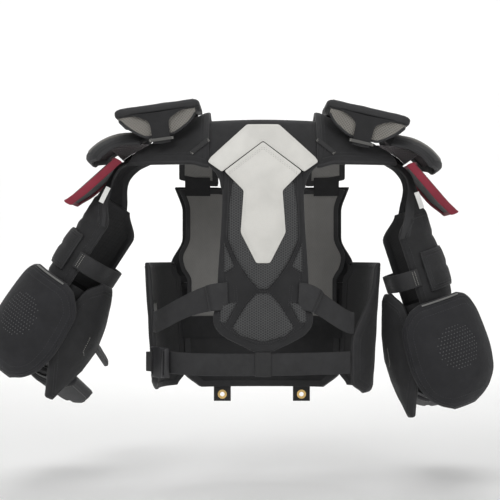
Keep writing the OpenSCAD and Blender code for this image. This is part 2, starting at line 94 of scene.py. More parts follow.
def half_w(z):
    return TORSO_HALF_W + 0.06 * (z + 300) + (SHOULDER_HALF_W - TORSO_HALF_W - 6) * ease((z + 245) / 70)


def top_z(x):
    return 45 - 0.5 * (np.sqrt(x * x + 400) - 20)


def arch(x, z, t):
    k = (z - ARCH_Z) / (top_z(x) - ARCH_Z + t)
    return np.where(z <= ARCH_Z, 1.0, np.sqrt(np.clip(1 - k * k, 0, 1)))


def depth(x, z, t):
    across = np.clip(1 - (np.abs(x) / (half_w(z) + t)) ** ROUND, 0, 1) ** (1 / ROUND)
    return (TORSO_HALF_D + t) * across * arch(x, z, t)


def points(x, y, z):
    return np.stack(np.broadcast_arrays(x, y, z), -1).astype(float)


def on_back(x, z, t):
    return points(x, MID_Y - depth(x, z, t), z)


def on_front(x, z, t):
    return points(x, MID_Y + depth(x, z, t), z)


def on_ring(a, z, t):
    """Round the waist: a is 0 at the spine, 90 at the wearer's right and 180 in front."""
    s, c = np.sin(np.radians(a)), np.cos(np.radians(a))
    x = (half_w(z) + t) * power(s, 2 / ROUND)
    return points(x, MID_Y - (TORSO_HALF_D + t) * power(c, 2 / ROUND) * arch(x, z, t), z)


def on_shoulder(x, a, t):
    """Over the shoulder: a is 0 at the back, 90 on top and 180 in front."""
    s, c = np.sin(np.radians(a)), np.cos(np.radians(a))
    return points(x, MID_Y - depth(x, ARCH_Z, t) * c, ARCH_Z + (top_z(x) - ARCH_Z + t) * s)


# ---- the arms' frames, drawn for the wearer's right side, as in the CAD ----
ARM_X, ARM_Z, ARM_MID, ARM_L = 190.0, -105.0, 12.0, 300.0
SPREAD = {LEFT: 33.0, RIGHT: 18.0}
ROLL = {LEFT: 15.0, RIGHT: 0.0}
ELBOW_BEND = 78.0


def turn(axis, deg):
    c, s = math.cos(math.radians(deg)), math.sin(math.radians(deg))
    return np.array({
        "x": [[1, 0, 0], [0, c, -s], [0, s, c]],
        "y": [[c, 0, s], [0, 1, 0], [-s, 0, c]],
        "z": [[c, -s, 0], [s, c, 0], [0, 0, 1]],
    }[axis])


def mirrored(side, p):
    return p * np.array([side, 1, 1])


def on_joint(side, p):
    return mirrored(side, p + np.array([ARM_X, 0, ARM_Z]))


def on_cap(side, p):
    return on_joint(side, p @ turn("y", -SPREAD[side] / 2).T)


def on_arm(side, p):
    return on_joint(side, p @ (turn("y", -SPREAD[side]) @ turn("z", ROLL[side])).T)


def on_forearm(side, p):
    return on_arm(side, p @ turn("x", ELBOW_BEND).T + np.array([0, 0, -ARM_L]))


def on_floater(side, p):
    tilt = turn("y", 18.6 - 0.32 * SPREAD[side])
    return mirrored(side, p @ tilt.T + np.array([100, 0, 24]))


def round_limb(a, d, r):
    """Round a limb: a in degrees, 0 outward and -90 the back; d down the limb; r from its middle."""
    a = np.radians(a)
    return points(ARM_MID + r * np.cos(a), r * np.sin(a), -d)


# ---- meshes ----
def unit(v):
    return v / np.maximum(np.linalg.norm(v, axis=-1, keepdims=True), 1e-9)


def spaced(n, crowd=0.6):
    """0 to 1 in n steps, closer together at both ends."""
    s = np.linspace(0, 1, n + 1)
    return mix(s, 0.5 - 0.5 * np.cos(np.pi * s), crowd)


def to_line(p, line, block=4000):
    """Distance of each point from a polyline in the plan."""
    flat = p.reshape(-1, 2)
    a, d = line[:-1], np.diff(line, axis=0)
    dd = np.maximum((d * d).sum(-1), 1e-12)
    out = np.empty(len(flat))
    for i in range(0, len(flat), block):
        q = flat[i:i + block, None, :] - a
        k = np.clip((q * d).sum(-1) / dd, 0, 1)
        out[i:i + block] = np.sqrt(((q - k[..., None] * d) ** 2).sum(-1)).min(-1)
    return out.reshape(p.shape[:-1])


def along(path):
    return np.concatenate([[0], np.cumsum(np.linalg.norm(np.diff(path, axis=0), axis=1))])


def resample(path, step=None, n=None, closed=False):
    if closed:
        path = np.concatenate([path, path[:1]])
    s = along(path)
    n = n or max(2, int(round(s[-1] / step)))
    k = np.linspace(0, s[-1], n + 1)
    if closed:
        k = k[:-1]
    return np.stack([np.interp(k, s, path[:, i]) for i in range(path.shape[1])], -1)


def rounded(corners, radius=6.0, n=160):
    """A closed outline through the corners, with its corners rounded off."""
    p = resample(np.array(corners, float), n=n, closed=True)
    step = along(np.concatenate([p, p[:1]]))[-1] / n
    reach = max(1, int(round(radius / step)))
    k = np.hanning(2 * reach + 3)[1:-1]
    k /= k.sum()
    wrapped = np.concatenate([p[-reach:], p, p[:reach]])
    return np.stack([np.convolve(wrapped[:, i], k, "valid") for i in range(2)], -1)


class Piece:
    """One object made of several meshes, each with its own material."""

    def __init__(self, name):
        self.name, self.verts, self.faces, self.uv = name, [], [], []
        self.slots, self.face_slot, self.wear, self.count = [], [], [], 0

    def add(self, verts, faces, material, uv, wear=None):
        verts = verts.reshape(-1, 3)
        if material not in self.slots:
            self.slots.append(material)
        self.verts.append(verts)
        self.faces += [tuple(i + self.count for i in f) for f in faces]
        self.face_slot += [self.slots.index(material)] * len(faces)
        self.uv.append(uv.reshape(-1, 2))
        self.wear.append(np.zeros(len(verts)) if wear is None else wear.reshape(-1))
        self.count += len(verts)

    def done(self, body, nodes=(), slot=None, fill=None, sharp=50, blend=None):
        mesh = bpy.data.meshes.new(self.name)
        mesh.from_pydata((np.concatenate(self.verts) * MM).tolist(), [], self.faces)
        for m in self.slots:
            mesh.materials.append(m)
        mesh.polygons.foreach_set("material_index", self.face_slot)
        uv, layer = np.concatenate(self.uv) * MM, mesh.uv_layers.new(name="plan")
        index = np.empty(len(mesh.loops), int)
        mesh.loops.foreach_get("vertex_index", index)
        layer.data.foreach_set("uv", uv[index].ravel())
        worn = mesh.attributes.new("wear", "FLOAT", "POINT")
        worn.data.foreach_set("value", np.concatenate(self.wear).astype(np.float32))
        bm = bmesh.new()
        bm.from_mesh(mesh)
        bmesh.ops.remove_doubles(bm, verts=bm.verts, dist=WELD)
        bmesh.ops.dissolve_degenerate(bm, edges=bm.edges, dist=WELD)
        bmesh.ops.recalc_face_normals(bm, faces=bm.faces)
        bm.to_mesh(mesh)
        bm.free()
        mesh.shade_smooth()
        mesh.set_sharp_from_angle(angle=math.radians(sharp))
        obj = bpy.data.objects.new(self.name, mesh)
        bpy.context.scene.collection.objects.link(obj)
        if blend:
            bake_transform(obj)
        else:
            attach(obj, body)
        if nodes:
            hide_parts(*nodes)
        return obj


def strip(nv, nu, wrap=False):
    """Faces of a grid of nv + 1 rows and nu + 1 columns (nu columns where it wraps)."""
    cols = nu if wrap else nu + 1
    out = []
    for j in range(nv):
        for i in range(nu):
            k = (i + 1) % cols
            out.append((j * cols + i, j * cols + k, (j + 1) * cols + k, (j + 1) * cols + i))
    return out


def hoops(n, m, closed):
    """Faces of a tube of n sections with m points each."""
    faces = strip(n - 1, m, wrap=True)
    if closed:
        faces += [((n - 1) * m + i, (n - 1) * m + (i + 1) % m, (i + 1) % m, i) for i in range(m)]
    return faces


def sheet(piece, outer, inner, plan, material, rim_material=None):
    """A thin sheet between two grids of points, closed along its edges."""
    rows, cols = plan.shape[:2]
    for side in (outer, inner):
        piece.add(side, strip(rows - 1, cols - 1), material, plan)
    edge = [(0, i) for i in range(cols)] + [(j, cols - 1) for j in range(1, rows)]
    edge += [(rows - 1, i) for i in range(cols - 2, -1, -1)] + [(j, 0) for j in range(rows - 2, 0, -1)]
    jj, ii = np.array(edge).T
    piece.add(np.stack([outer[jj, ii], inner[jj, ii]]), strip(1, len(edge), wrap=True),
              rim_material or material, np.stack([plan[jj, ii]] * 2))


class Pad:
    """A sewn pad. place(a, b, t) gives a point from its plan and its height over the surface."""

    def __init__(self, place, grid, t_in, t_out, edge=4.0, soft=14.0, relief=None, ring=False):
        self.place, self.grid, self.t_in, self.t_out = place, grid, t_in, t_out
        self.edge, self.soft, self.relief, self.ring = edge, soft, relief, ring
        if ring:
            self.rim = np.concatenate([grid[-1], grid[-1][:1]])
        else:
            self.rim = np.concatenate([grid[0], grid[1:, -1], grid[-1, -2::-1], grid[-2::-1, 0]])

    def height(self, ab):
        k = np.clip(to_line(ab, self.rim) / self.soft, 0, 1)
        t = self.t_in + self.edge + (self.t_out - self.t_in - self.edge) * np.sqrt(1 - (1 - k) ** 2)
        return t + self.relief(ab) * ease(k * 1.5) if self.relief else t

    def at(self, ab, lift=0.0):
        return self.place(ab[..., 0], ab[..., 1], self.height(ab) + lift)

    def build(self, piece, material, lining=None):
        """The outer face, the lining under it and the wall between them."""
        g = self.grid
        rows, cols = g.shape[:2]
        d = to_line(g, self.rim)
        if self.ring:
            faces = strip(rows - 1, cols, wrap=True) + [tuple(range(cols))[::-1]]
        else:
            faces = strip(rows - 1, cols - 1)
        wear = np.exp(-d / 4)
        if self.relief:
            wear = wear - np.clip(-self.relief(g) / 3, 0, 1)
        piece.add(self.at(g), faces, material, g, wear)
        under = self.place(g[..., 0], g[..., 1], np.full(g.shape[:2], self.t_in))
        piece.add(under, faces, lining or material, g, np.zeros_like(d))
        rim = self.rim[:-1]
        n = len(rim)
        top = self.place(rim[:, 0], rim[:, 1], np.full(n, self.t_in + self.edge))
        low = self.place(rim[:, 0], rim[:, 1], np.full(n, self.t_in))
        piece.add(np.stack([low, top]), strip(1, n, wrap=True), material, np.stack([rim, rim]))

    def inset(self, gap, step=3.0):
        """The rim moved inward, closed, in the plan, and which of its points stay clear of the rim."""
        p = resample(self.rim[:-1], step=step, closed=True)
        t = unit(np.roll(p, -1, 0) - np.roll(p, 1, 0))
        n = np.stack([-t[:, 1], t[:, 0]], -1)
        area = (p[:, 0] * np.roll(p[:, 1], -1) - np.roll(p[:, 0], -1) * p[:, 1]).sum()
        if area < 0:
            n = -n
        n = (np.roll(n, 1, 0) + 2 * n + np.roll(n, -1, 0)) / 4
        q = p + n * gap
        return q, to_line(q, self.rim) > gap * 0.9

    def rim_frame(self, gap, t, step):
        """Points on the rim at height t, unit vectors out and up there, and the plan a gap further in."""
        q, inner = self.inset(0.0, step)[0], self.inset(gap, step)[0]
        t = np.full(len(q), t)
        rim = self.place(q[:, 0], q[:, 1], t)
        up = unit(self.place(q[:, 0], q[:, 1], t + 1) - rim)
        return rim, unit(rim - self.place(inner[:, 0], inner[:, 1], t)), up, inner

    def bind(self, piece, material, width=9.0, proud=1.2):
        """Tape folded over the rim."""
        rim, out, up, inner = self.rim_frame(width, self.t_in + self.edge / 2, 3.5)
        n, lip = len(rim), self.edge / 2 + 0.9
        rise = np.maximum(self.height(inner) - self.t_in - self.edge / 2 + 0.5, lip)
        rows = [np.stack([np.full(n, -width * (1 - k)), mix(rise, lip, np.sqrt(k))], -1)
                for k in np.linspace(0, 1, 6)[:-1]]
        rows += [np.tile([proud * math.cos(math.radians(a)), lip * math.sin(math.radians(a))], (n, 1))
                 for a in np.linspace(90, -90, 7)]
        rows.append(np.tile([-width, -lip], (n, 1)))
        sweep(piece, material, rim, out, up, np.stack(rows, 1), closed=True, wear=0.15)

    def stitch(self, piece, thread, gap=12.0, pitch=4.4, size=1.0):
        """A row of stitches that follows the rim."""
        for path in runs(*self.inset(gap, pitch)):
            stitches(piece, thread, self.at, path, pitch, size)


def runs(path, keep):
    """The kept stretches of a closed path."""
    n = len(path)
    if keep.all():
        return [np.concatenate([path, path[:1]])]
    if not keep.any():
        return []
    start = next(i for i in range(n) if keep[i] and not keep[i - 1])
    out, run = [], []
    for k in range(n):
        i = (start + k) % n
        if keep[i]:
            run.append(path[i])
        elif run:
            out.append(np.array(run))
            run = []
    if run:
        out.append(np.array(run))
    return [r for r in out if len(r) > 2]


def stitches(piece, thread, at, path, pitch=4.4, size=1.0):
    """A row of stitches. at(ab, lift) gives points on the cloth along a path in its plan."""
    p = resample(np.array(path, float), step=pitch)
    if len(p) < 2:
        return
    mid = (p[1:] + p[:-1]) / 2
    c, top = at(mid), at(mid, 1.0)
    fore, back = at(mix(mid, p[1:], 0.1)), at(mix(mid, p[:-1], 0.1))
    t, up = unit(fore - back), unit(top - c)
    w = np.cross(t, up)
    ln, wd, hi = 0.31 * pitch, 0.42 * size, 0.5 * size
    v = np.stack([c - t * ln, c + t * ln, c + w * wd + up * 0.1, c - w * wd + up * 0.1,
                  c + up * hi, c - up * 0.4], 1)
    ring = (2, 4, 3, 5)
    faces = [(6 * i + tip, 6 * i + ring[k], 6 * i + ring[(k + 1) % 4])
             for i in range(len(c)) for tip in (0, 1) for k in range(4)]
    piece.add(v, faces, thread, np.zeros((len(c) * 6, 2)))


def sweep(piece, material, path, side, up, section, closed=False, wear=0.1):
    """A section of (side, up) offsets carried along a path. side and up are unit vectors at each point."""
    section = np.asarray(section, float)
    if section.ndim == 2:
        section = np.repeat(section[None], len(path), 0)
    n, m = section.shape[:2]
    verts = path[:, None] + section[..., :1] * side[:, None] + section[..., 1:] * up[:, None]
    faces = hoops(n, m, closed)
    if not closed:
        faces += [tuple(range(m))[::-1], tuple((n - 1) * m + i for i in range(m))]
    length, across = along(path), along(np.concatenate([section[0], section[0][:1]]))[:-1]
    uv = np.stack([np.repeat(length[:, None], m, 1), np.repeat(across[None], n, 0)], -1)
    piece.add(verts, faces, material, uv, np.full(uv.shape[:2], wear))


def tape_section(width, thick, n=5):
    """A flat webbing section with rounded edges, its face at up = 0 to thick."""
    w, h = width / 2, thick / 2
    out = []
    for cx, a0 in ((w - h, -90), (-w + h, 90)):
        for a in np.linspace(a0, a0 + 180, n):
            out.append((cx + h * math.cos(math.radians(a)), h + h * math.sin(math.radians(a))))
    return out


def frame_along(path, up_points):
    """Unit side and up vectors along a path, from points a little above it."""
    t = unit(np.gradient(path, axis=0))
    up = up_points - path
    up = unit(up - (up * t).sum(1, keepdims=True) * t)
    return np.cross(t, up), up


def tube(piece, material, path, radius, n=8):
    """Round piping along a path."""
    t = unit(np.gradient(path, axis=0))
    side = unit(np.cross(t, np.array([0.3, 0.2, 0.93])))
    a = np.linspace(0, 2 * np.pi, n, endpoint=False)
    section = np.stack([radius * np.cos(a), radius * np.sin(a)], -1)
    sweep(piece, material, path, side, np.cross(side, t), section)


def smooth_noise(ab, cell, seed):
    """Smooth, repeatable noise over a plan, about -1 to 1."""
    table = np.random.default_rng(seed).uniform(-1, 1, (64, 64))
    p = ab / cell + 1000.5
    i = np.floor(p).astype(int)
    k = ease(p - i)
    x0, x1, y0, y1 = i[..., 0] % 64, (i[..., 0] + 1) % 64, i[..., 1] % 64, (i[..., 1] + 1) % 64
    low, high = mix(table[x0, y0], table[x1, y0], k[..., 0]), mix(table[x0, y1], table[x1, y1], k[..., 0])
    return mix(low, high, k[..., 1])


def crumple(amount, cell=26.0, seed=1, stretch=(1.0, 1.0)):
    """Relief of loose cloth over foam."""
    s = np.array(stretch)

    def relief(ab):
        return amount * (smooth_noise(ab * s, cell, seed) + 0.5 * smooth_noise(ab * s, cell / 2.3, seed + 7))
    return relief


def grooves(lines, deep=3.0, wide=5.0, base=None):
    """Relief of sewn channels along plan polylines."""
    lines = [np.array(line, float) for line in lines]

    def relief(ab):
        h = base(ab) if base else np.zeros(ab.shape[:-1])
        for line in lines:
            h = h - deep * np.exp(-((to_line(ab, line) / wide) ** 2))
        return h
    return relief


def panel_grid(half, bottom, top, nu, nv, mid=lambda z: 0.0):
    u, v = np.meshgrid(spaced(nu), spaced(nv))
    z_row = mix(bottom(0.0), top(0.0), v)
    x = mid(z_row) + (2 * u - 1) * half(z_row)
    return np.stack([x, mix(bottom(x), top(x), v)], -1)


def band_grid(start, end, bottom, top, nu, nv, scale):
    """A grid between two angles, unrolled at so many millimetres a degree."""
    u, v = np.meshgrid(spaced(nu), spaced(nv))
    d = mix(bottom, top, v)
    return np.stack([mix(start(d), end(d), u) * scale, d], -1)


def disc_grid(outline, rows=10, centre=None):
    """Rings from the middle of an outline to its rim."""
    c = outline.mean(0) if centre is None else np.array(centre, float)
    k = np.sin(np.linspace(0.06, 1, rows) * np.pi / 2)[:, None, None]
    return c + (outline - c) * k


def look(*points):
    return lambda q: curve(q, points)


def flat_at(value):
    return lambda q: value + 0 * np.asarray(q, float)


# ---- materials ----
class Finish:
    """A material under construction. Uniform values go straight on the shader."""

    def __init__(self, name, **shader):
        self.material = bpy.data.materials.new(name)
        self.material.use_nodes = True
        self.tree = self.material.node_tree
        self.shader = next(n for n in self.tree.nodes if n.type == "BSDF_PRINCIPLED")
        for key, value in shader.items():
            self.shader.inputs[key.replace("_", " ").title().replace("Ior", "IOR")].default_value = value
        self.height = None

    def node(self, kind, inputs=(), **props):
        n = self.tree.nodes.new(kind)
        for key, value in props.items():
            setattr(n, key, value)
        for key, value in dict(inputs).items():
            if isinstance(value, bpy.types.NodeSocket):
                self.tree.links.new(value, n.inputs[key])
            else:
                n.inputs[key].default_value = value
        return n

    def math(self, operation, *values):
        return self.node("ShaderNodeMath", dict(enumerate(values)), operation=operation).outputs[0]

    def place(self, unrolled=True):
        if unrolled:
            return self.node("ShaderNodeUVMap", uv_map="plan").outputs[0]
        return self.node("ShaderNodeTexCoord").outputs["Object"]

    def noise(self, size_mm, detail=3.0, unrolled=False):
        inputs = {"Vector": self.place(unrolled), "Scale": 1000 / size_mm, "Detail": detail}
        return self.node("ShaderNodeTexNoise", inputs).outputs[0]

    def cells(self, size_mm, feature="F1"):
        inputs = {"Vector": self.place(False), "Scale": 1000 / size_mm}
        return self.node("ShaderNodeTexVoronoi", inputs, feature=feature).outputs["Distance"]

    def waves(self, pitch_mm, angles, unrolled=True):
        """Mean of cosine ripples: two at right angles make a weave, three at 60 degrees a honeycomb."""
        total = None
        for angle in angles:
            k = 2 * math.pi * 1000 / pitch_mm
            way = (k * math.cos(math.radians(angle)), k * math.sin(math.radians(angle)), 0)
            inputs = {0: self.place(unrolled), 1: way}
            dot = self.node("ShaderNodeVectorMath", inputs, operation="DOT_PRODUCT")
            ripple = self.math("COSINE", dot.outputs["Value"])
            total = ripple if total is None else self.math("ADD", total, ripple)
        return self.math("MULTIPLY_ADD", total, 0.5 / len(angles), 0.5)

    def ramp(self, value, *stops):
        n = self.node("ShaderNodeValToRGB", {0: value})
        e = n.color_ramp.elements
        while len(e) < len(stops):
            e.new(0.5)
        for slot, (pos, colour) in zip(e, stops):
            slot.position, slot.color = pos, (*colour, 1)
        return n.outputs[0]

    def blend(self, factor, a, b):
        n = self.node("ShaderNodeMix", data_type="RGBA")
        for key, value in ((0, factor), (6, a), (7, b)):
            if isinstance(value, bpy.types.NodeSocket):
                self.tree.links.new(value, n.inputs[key])
            else:
                n.inputs[key].default_value = (*value, 1) if isinstance(value, tuple) else value
        return n.outputs[2]

    def worn(self):
        return self.node("ShaderNodeAttribute", attribute_name="wear").outputs["Fac"]

    def bump(self, height, distance_mm, strength=1.0):
        inputs = {"Height": height, "Distance": distance_mm * MM, "Strength": strength}
        if self.height:
            inputs["Normal"] = self.height
        self.height = self.node("ShaderNodeBump", inputs).outputs[0]
        return self

    def colour(self, socket):
        self.tree.links.new(socket, self.shader.inputs["Base Color"])
        return self

    def rough(self, value, low, high):
        n = self.node("ShaderNodeMapRange", {"Value": value, "To Min": low, "To Max": high})
        self.tree.links.new(n.outputs[0], self.shader.inputs["Roughness"])
        return self

    def done(self):
        if self.height:
            self.tree.links.new(self.height, self.shader.inputs["Normal"])
        return self.material


def tone(colour, k):
    return tuple(c * k for c in colour)


def woven(name, colour, pitch=1.3, sheen=0.10, deep=0.18, rough=0.75, edge=1.6, fold=0.6):
    """Close woven cloth: thread ripple, faded patches and lighter worn edges."""
    f = Finish(name, specular_ior_level=0.35, sheen_weight=sheen, sheen_roughness=0.45)
    weave = f.waves(pitch, (0, 90))
    patch = f.ramp(f.noise(38, 4), (0.32, tone(colour, 0.72)), (0.5, colour), (0.7, tone(colour, 1.3)))
    thread = f.blend(weave, tone(colour, 0.7), tone(colour, 1.25))
    cloth = f.blend(0.45, patch, thread)
    cloth = f.blend(f.math("MULTIPLY", f.worn(), 0.5), cloth, tone(colour, edge))
    f.colour(cloth).rough(f.noise(14, 3), rough - 0.1, rough + 0.12)
    return f.bump(f.noise(9, 4), fold).bump(weave, deep, 0.7).done()


def meshed(name, hole, rib, pitch, angles=(0, 60, 120), deep=0.7, sheen=0.15, rough=0.7, cut=(0.35, 0.62)):
    """Open knitted mesh: dark holes in a lattice of lighter ribs."""
    f = Finish(name, specular_ior_level=0.4, sheen_weight=sheen, sheen_roughness=0.4)
    lattice = f.waves(pitch, angles)
    open_part = f.ramp(lattice, (cut[0], rib), (cut[1], hole))
    faded = f.ramp(f.noise(30, 3), (0.3, tone(rib, 0.6)), (0.7, tone(rib, 1.15)))
    cloth = f.blend(0.3, open_part, f.blend(0.6, open_part, faded))
    f.colour(cloth).rough(f.noise(8, 2), rough - 0.08, rough + 0.1)
    return f.bump(f.noise(16, 3), 0.8).bump(f.math("SUBTRACT", 1.0, lattice), deep, 0.8).done()


def ribbed(name, colour, pitch=1.5, across=True, sheen=0.2, deep=0.25, rough=0.65):
    """Webbing or elastic: cords one way, and a finer weave over them."""
    f = Finish(name, specular_ior_level=0.45, sheen_weight=sheen, sheen_roughness=0.4)
    cord = f.waves(pitch, (0,) if across else (90,))
    fine = f.waves(pitch * 0.55, (35, -35))
    patch = f.ramp(f.noise(22, 3), (0.3, tone(colour, 0.75)), (0.7, tone(colour, 1.3)))
    cloth = f.blend(f.math("MULTIPLY", cord, 0.5), patch, tone(colour, 1.5))
    cloth = f.blend(f.math("MULTIPLY", f.worn(), 0.4), cloth, tone(colour, 2.0))
    f.colour(cloth).rough(f.noise(10, 2), rough - 0.08, rough + 0.12)
    return f.bump(fine, deep * 0.4, 0.6).bump(cord, deep, 0.8).done()


def leather(name, colour, rough=0.42):
    """Smooth synthetic leather with a fine grain, rubbed a little grey."""
    f = Finish(name, specular_ior_level=0.45, coat_weight=0.06, coat_roughness=0.35)
    grain = f.cells(1.1)
    smudge = f.ramp(f.noise(45, 5), (0.35, tone(colour, 0.88)), (0.6, colour))
    cloth = f.blend(f.math("MULTIPLY", grain, 0.35), smudge, tone(colour, 0.8))
    f.colour(f.blend(f.math("MULTIPLY", f.worn(), 0.3), cloth, tone(colour, 0.8)))
    f.rough(f.noise(20, 4), rough - 0.08, rough + 0.14)
    return f.bump(f.noise(12, 3), 0.4).bump(grain, 0.12, 0.8).done()


def moulded(name, colour, rough=0.38, **shader):
    """Moulded plastic or plated metal: faint texture and handling marks."""
    f = Finish(name, **shader)
    marks = f.noise(7, 5)
    f.colour(f.ramp(f.noise(25, 4), (0.35, tone(colour, 0.8)), (0.65, tone(colour, 1.25))))
    return f.rough(marks, rough - 0.1, rough + 0.15).bump(f.noise(0.9, 2), 0.05, 0.6).done()


BLACK = (0.0145, 0.0145, 0.0155)
NYLON = woven("black_nylon", BLACK)
NYLON_SOFT = woven("black_stretch", tone(BLACK, 0.8), pitch=0.9, sheen=0.12, fold=1.1)
NYLON_BLUE = woven("slate_nylon", (0.0135, 0.0135, 0.0155), pitch=1.6, sheen=0.06)
TAPE = ribbed("binding_tape", (0.013, 0.013, 0.014), pitch=1.1, deep=0.18, rough=0.6, sheen=0.1)
WEBBING = ribbed("black_webbing", (0.0145, 0.0145, 0.015), pitch=2.2, across=False, sheen=0.08)
ELASTIC = ribbed("woven_elastic", (0.0145, 0.0145, 0.0155), pitch=1.9, deep=0.3, sheen=0.08)
GREY_TAPE = ribbed("grey_webbing", (0.13, 0.13, 0.125), pitch=1.6, deep=0.25)
SPACER = meshed("spacer_mesh", (0.010, 0.010, 0.011), (0.062, 0.063, 0.064), pitch=3.6)
GREY_MESH = meshed("grey_mesh", (0.06, 0.057, 0.052), (0.25, 0.237, 0.214), 3.4, angles=(45, -45),
                   cut=(0.4, 0.7))
DARK_LINING = meshed("dark_lining", (0.006, 0.006, 0.006), (0.035, 0.035, 0.036), pitch=2.6)
BAR_TAPE = ribbed("bar_webbing", (0.075, 0.074, 0.07), pitch=1.6, deep=0.25)
# Eyelet grey: black moulding made paler, a painted highlight standing in for light caught at the elbow's
# perforations
DOT = moulded("eyelet_painted_highlight", (0.05, 0.05, 0.052), rough=0.35)
# A paler copy of the cap lining mesh: its extra brightness is painted light, set against the self-shadow
# inside the cap's dome
CAP_LINING_PAINTED_LIGHT = meshed("cap_lining_painted_light", (0.05, 0.044, 0.046), (0.8, 0.75, 0.77), pitch=4.2, cut=(0.2, 0.45))
LINING_MESH = meshed("cap_lining", (0.035, 0.030, 0.031), (0.30, 0.27, 0.28), pitch=3.4, cut=(0.18, 0.42))
LINER = meshed("brushed_liner", (0.12, 0.118, 0.112), (0.22, 0.215, 0.205), pitch=2.0, cut=(0.4, 0.7),
               deep=0.3)
CAP_GREY = woven("cap_grey", (0.125, 0.12, 0.11), pitch=1.8, edge=1.2)
RED = woven("red_fabric", (0.215, 0.021, 0.038), pitch=1.2, sheen=0.15, edge=1.15)
SLATE = woven("wing_face", (0.019, 0.019, 0.021), pitch=1.4, sheen=0.12, rough=0.6)
WHITE = leather("white_leather", (0.66, 0.65, 0.615))
WHITE_EDGE = leather("white_edge", (0.42, 0.41, 0.385), rough=0.55)
HEART = moulded("heart_sheet", (0.6, 0.6, 0.57), rough=0.5)
PLASTIC = moulded("black_acetal", (0.02, 0.02, 0.022), rough=0.36)
BRASS = moulded("plated_brass", (0.72, 0.5, 0.2), rough=0.3, metallic=1.0)
LABEL = woven("label_satin", (0.72, 0.72, 0.7), pitch=0.7, sheen=0.2, edge=0.85)
THREAD = ribbed("black_thread", (0.03, 0.03, 0.033), pitch=0.6)
GREY_THREAD = ribbed("grey_thread", (0.24, 0.235, 0.22), pitch=0.6)
PALE_THREAD = ribbed("pale_thread", (0.42, 0.41, 0.38), pitch=0.6)


def finish_node(name, material):
    """Give a CAD node that stays in view its finish."""
    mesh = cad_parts[name].data
    mesh.materials.clear()
    mesh.materials.append(material)


# ---- how a padded panel is put together ----
def sewn(name, body, nodes, pad, face, lining=None, width=8.0, proud=1.0, seams=(), slot="black_shell",
         fill=0.6):
    """A pad with its binding and stitching. seams are (gap, thread) rows that follow the rim."""
    piece = Piece(name)
    pad.build(piece, face, lining)
    pad.bind(piece, TAPE, width, proud)
    for gap, thread in seams:
        pad.stitch(piece, thread, gap)
    piece.done(body, nodes, slot, fill)


RING_SCALE = 2.75         # millimetres a degree round the trunk, for unrolling
LIMB_SCALE = 1.15         # round an arm
CUP_SCALE = 1.5           # round an elbow cup
CAP_SCALE = 1.9           # over a shoulder cap


def ring_place(side=RIGHT):
    return lambda s, z, t: mirrored(side, on_ring(s / RING_SCALE, z, t))


def limb_place(side, scale=LIMB_SCALE):
    return lambda s, d, t: on_arm(side, round_limb(s / scale, d, t))


def line(*corners, step=3.0):
    return resample(np.array(corners, float), step=step)


def both_sides(half):
    """A symmetric outline from its right half, listed from one end to the other, starting on the left."""
    return [(-half[0][0], half[0][1])] + half + [(-x, z) for x, z in half[:0:-1]]


# ---- front ----
CHEST_TOP, CHEST_BOTTOM, BELLY_SPLIT, BELLY_BOTTOM = -102.0, -268.0, -347.0, -452.0
LINER_OUT, CHEST_IN, CHEST_OUT = 9.0, 12.7, 30.7
BLOCK_IN, BLOCK_OUT, BELLY_ANGLE = 31.3, 42.3, 43.0


def neck_dip(x):
    return 8 * (1 - np.minimum(1, np.abs(x) / 75) ** 2)


def make_front():
    grid = panel_grid(
        look((-344, 130), (-268, 130), (-250, 140), (-228, 145), (-195, 133), (-150, 133), (-106, 149)),
        flat_at(-343.5), lambda x: CHEST_TOP - 4.5 - neck_dip(x), 44, 40)
    pad = Pad(on_front, grid, PAD_IN + 0.3, LINER_OUT - 0.2, edge=2.5, soft=10)
    sewn("chest_lining", "torso", ["chest_liner"], pad, LINER, width=7, slot="liner", fill=0.4,
         seams=[(12, THREAD)])

    grid = panel_grid(
        look((-268, 157), (-240, 159), (-195, 139.5), (-150, 139.5), (-120, 149), (-102, 157)),
        flat_at(CHEST_BOTTOM), lambda x: CHEST_TOP - neck_dip(x), 56, 44)
    ribs = [line((s * 20, -118), (s * 48, -180), (s * 26, -258)) for s in (-1, 1)]
    ribs += [line((s * 132, -120), (s * 126, -180), (s * 138, -256)) for s in (-1, 1)]
    pad = Pad(on_front, grid, CHEST_IN, CHEST_OUT - 0.5, edge=8, soft=22,
              relief=grooves(ribs, 3.5, 5, crumple(0.7, 34, 3)))
    sewn("chest_block", "torso", ["chest_shell"], pad, NYLON, width=11, fill=0.8,
         seams=[(16, GREY_THREAD)])

    outline = rounded(both_sides([(15, -257), (37, -205), (41, -150), (29, -119)]), 8)
    chevrons = [line((-30, -168), (0, -182), (30, -168)), line((-24, -212), (0, -226), (24, -212))]
    pad = Pad(on_front, disc_grid(outline, 14), BLOCK_IN, BLOCK_OUT - 0.4, edge=4.5, soft=13, ring=True,
              relief=grooves(chevrons, 2.4, 3.2))
    sewn("sternum_cover", "torso", ["sternum_block"], pad, WHITE, width=5, slot="white_overlay", fill=0.8,
         seams=[(9, GREY_THREAD)])
    for side, key in SIDE_NAME.items():
        middle = look((-252, 84 * side), (-205, 88 * side), (-150, 92 * side), (-124, 94 * side))
        half = lambda z: mix(44, 40, ease((z + 250) / 120)) - 0.3
        grid = panel_grid(half, flat_at(-251.7), flat_at(-124.3), 24, 32, middle)
        channels = [line((side * 40, z), (side * 136, z - 8)) for z in (-156, -188, -220)]
        pad = Pad(on_front, grid, BLOCK_IN, BLOCK_OUT - 3.4, edge=4, soft=12,
                  relief=grooves(channels, 2.6, 3.6))
        sewn(f"pec_cover_{key}", "torso", [f"pec_block_{key}"], pad, NYLON_BLUE, width=7,
             fill=0.8, seams=[(11, GREY_THREAD)])


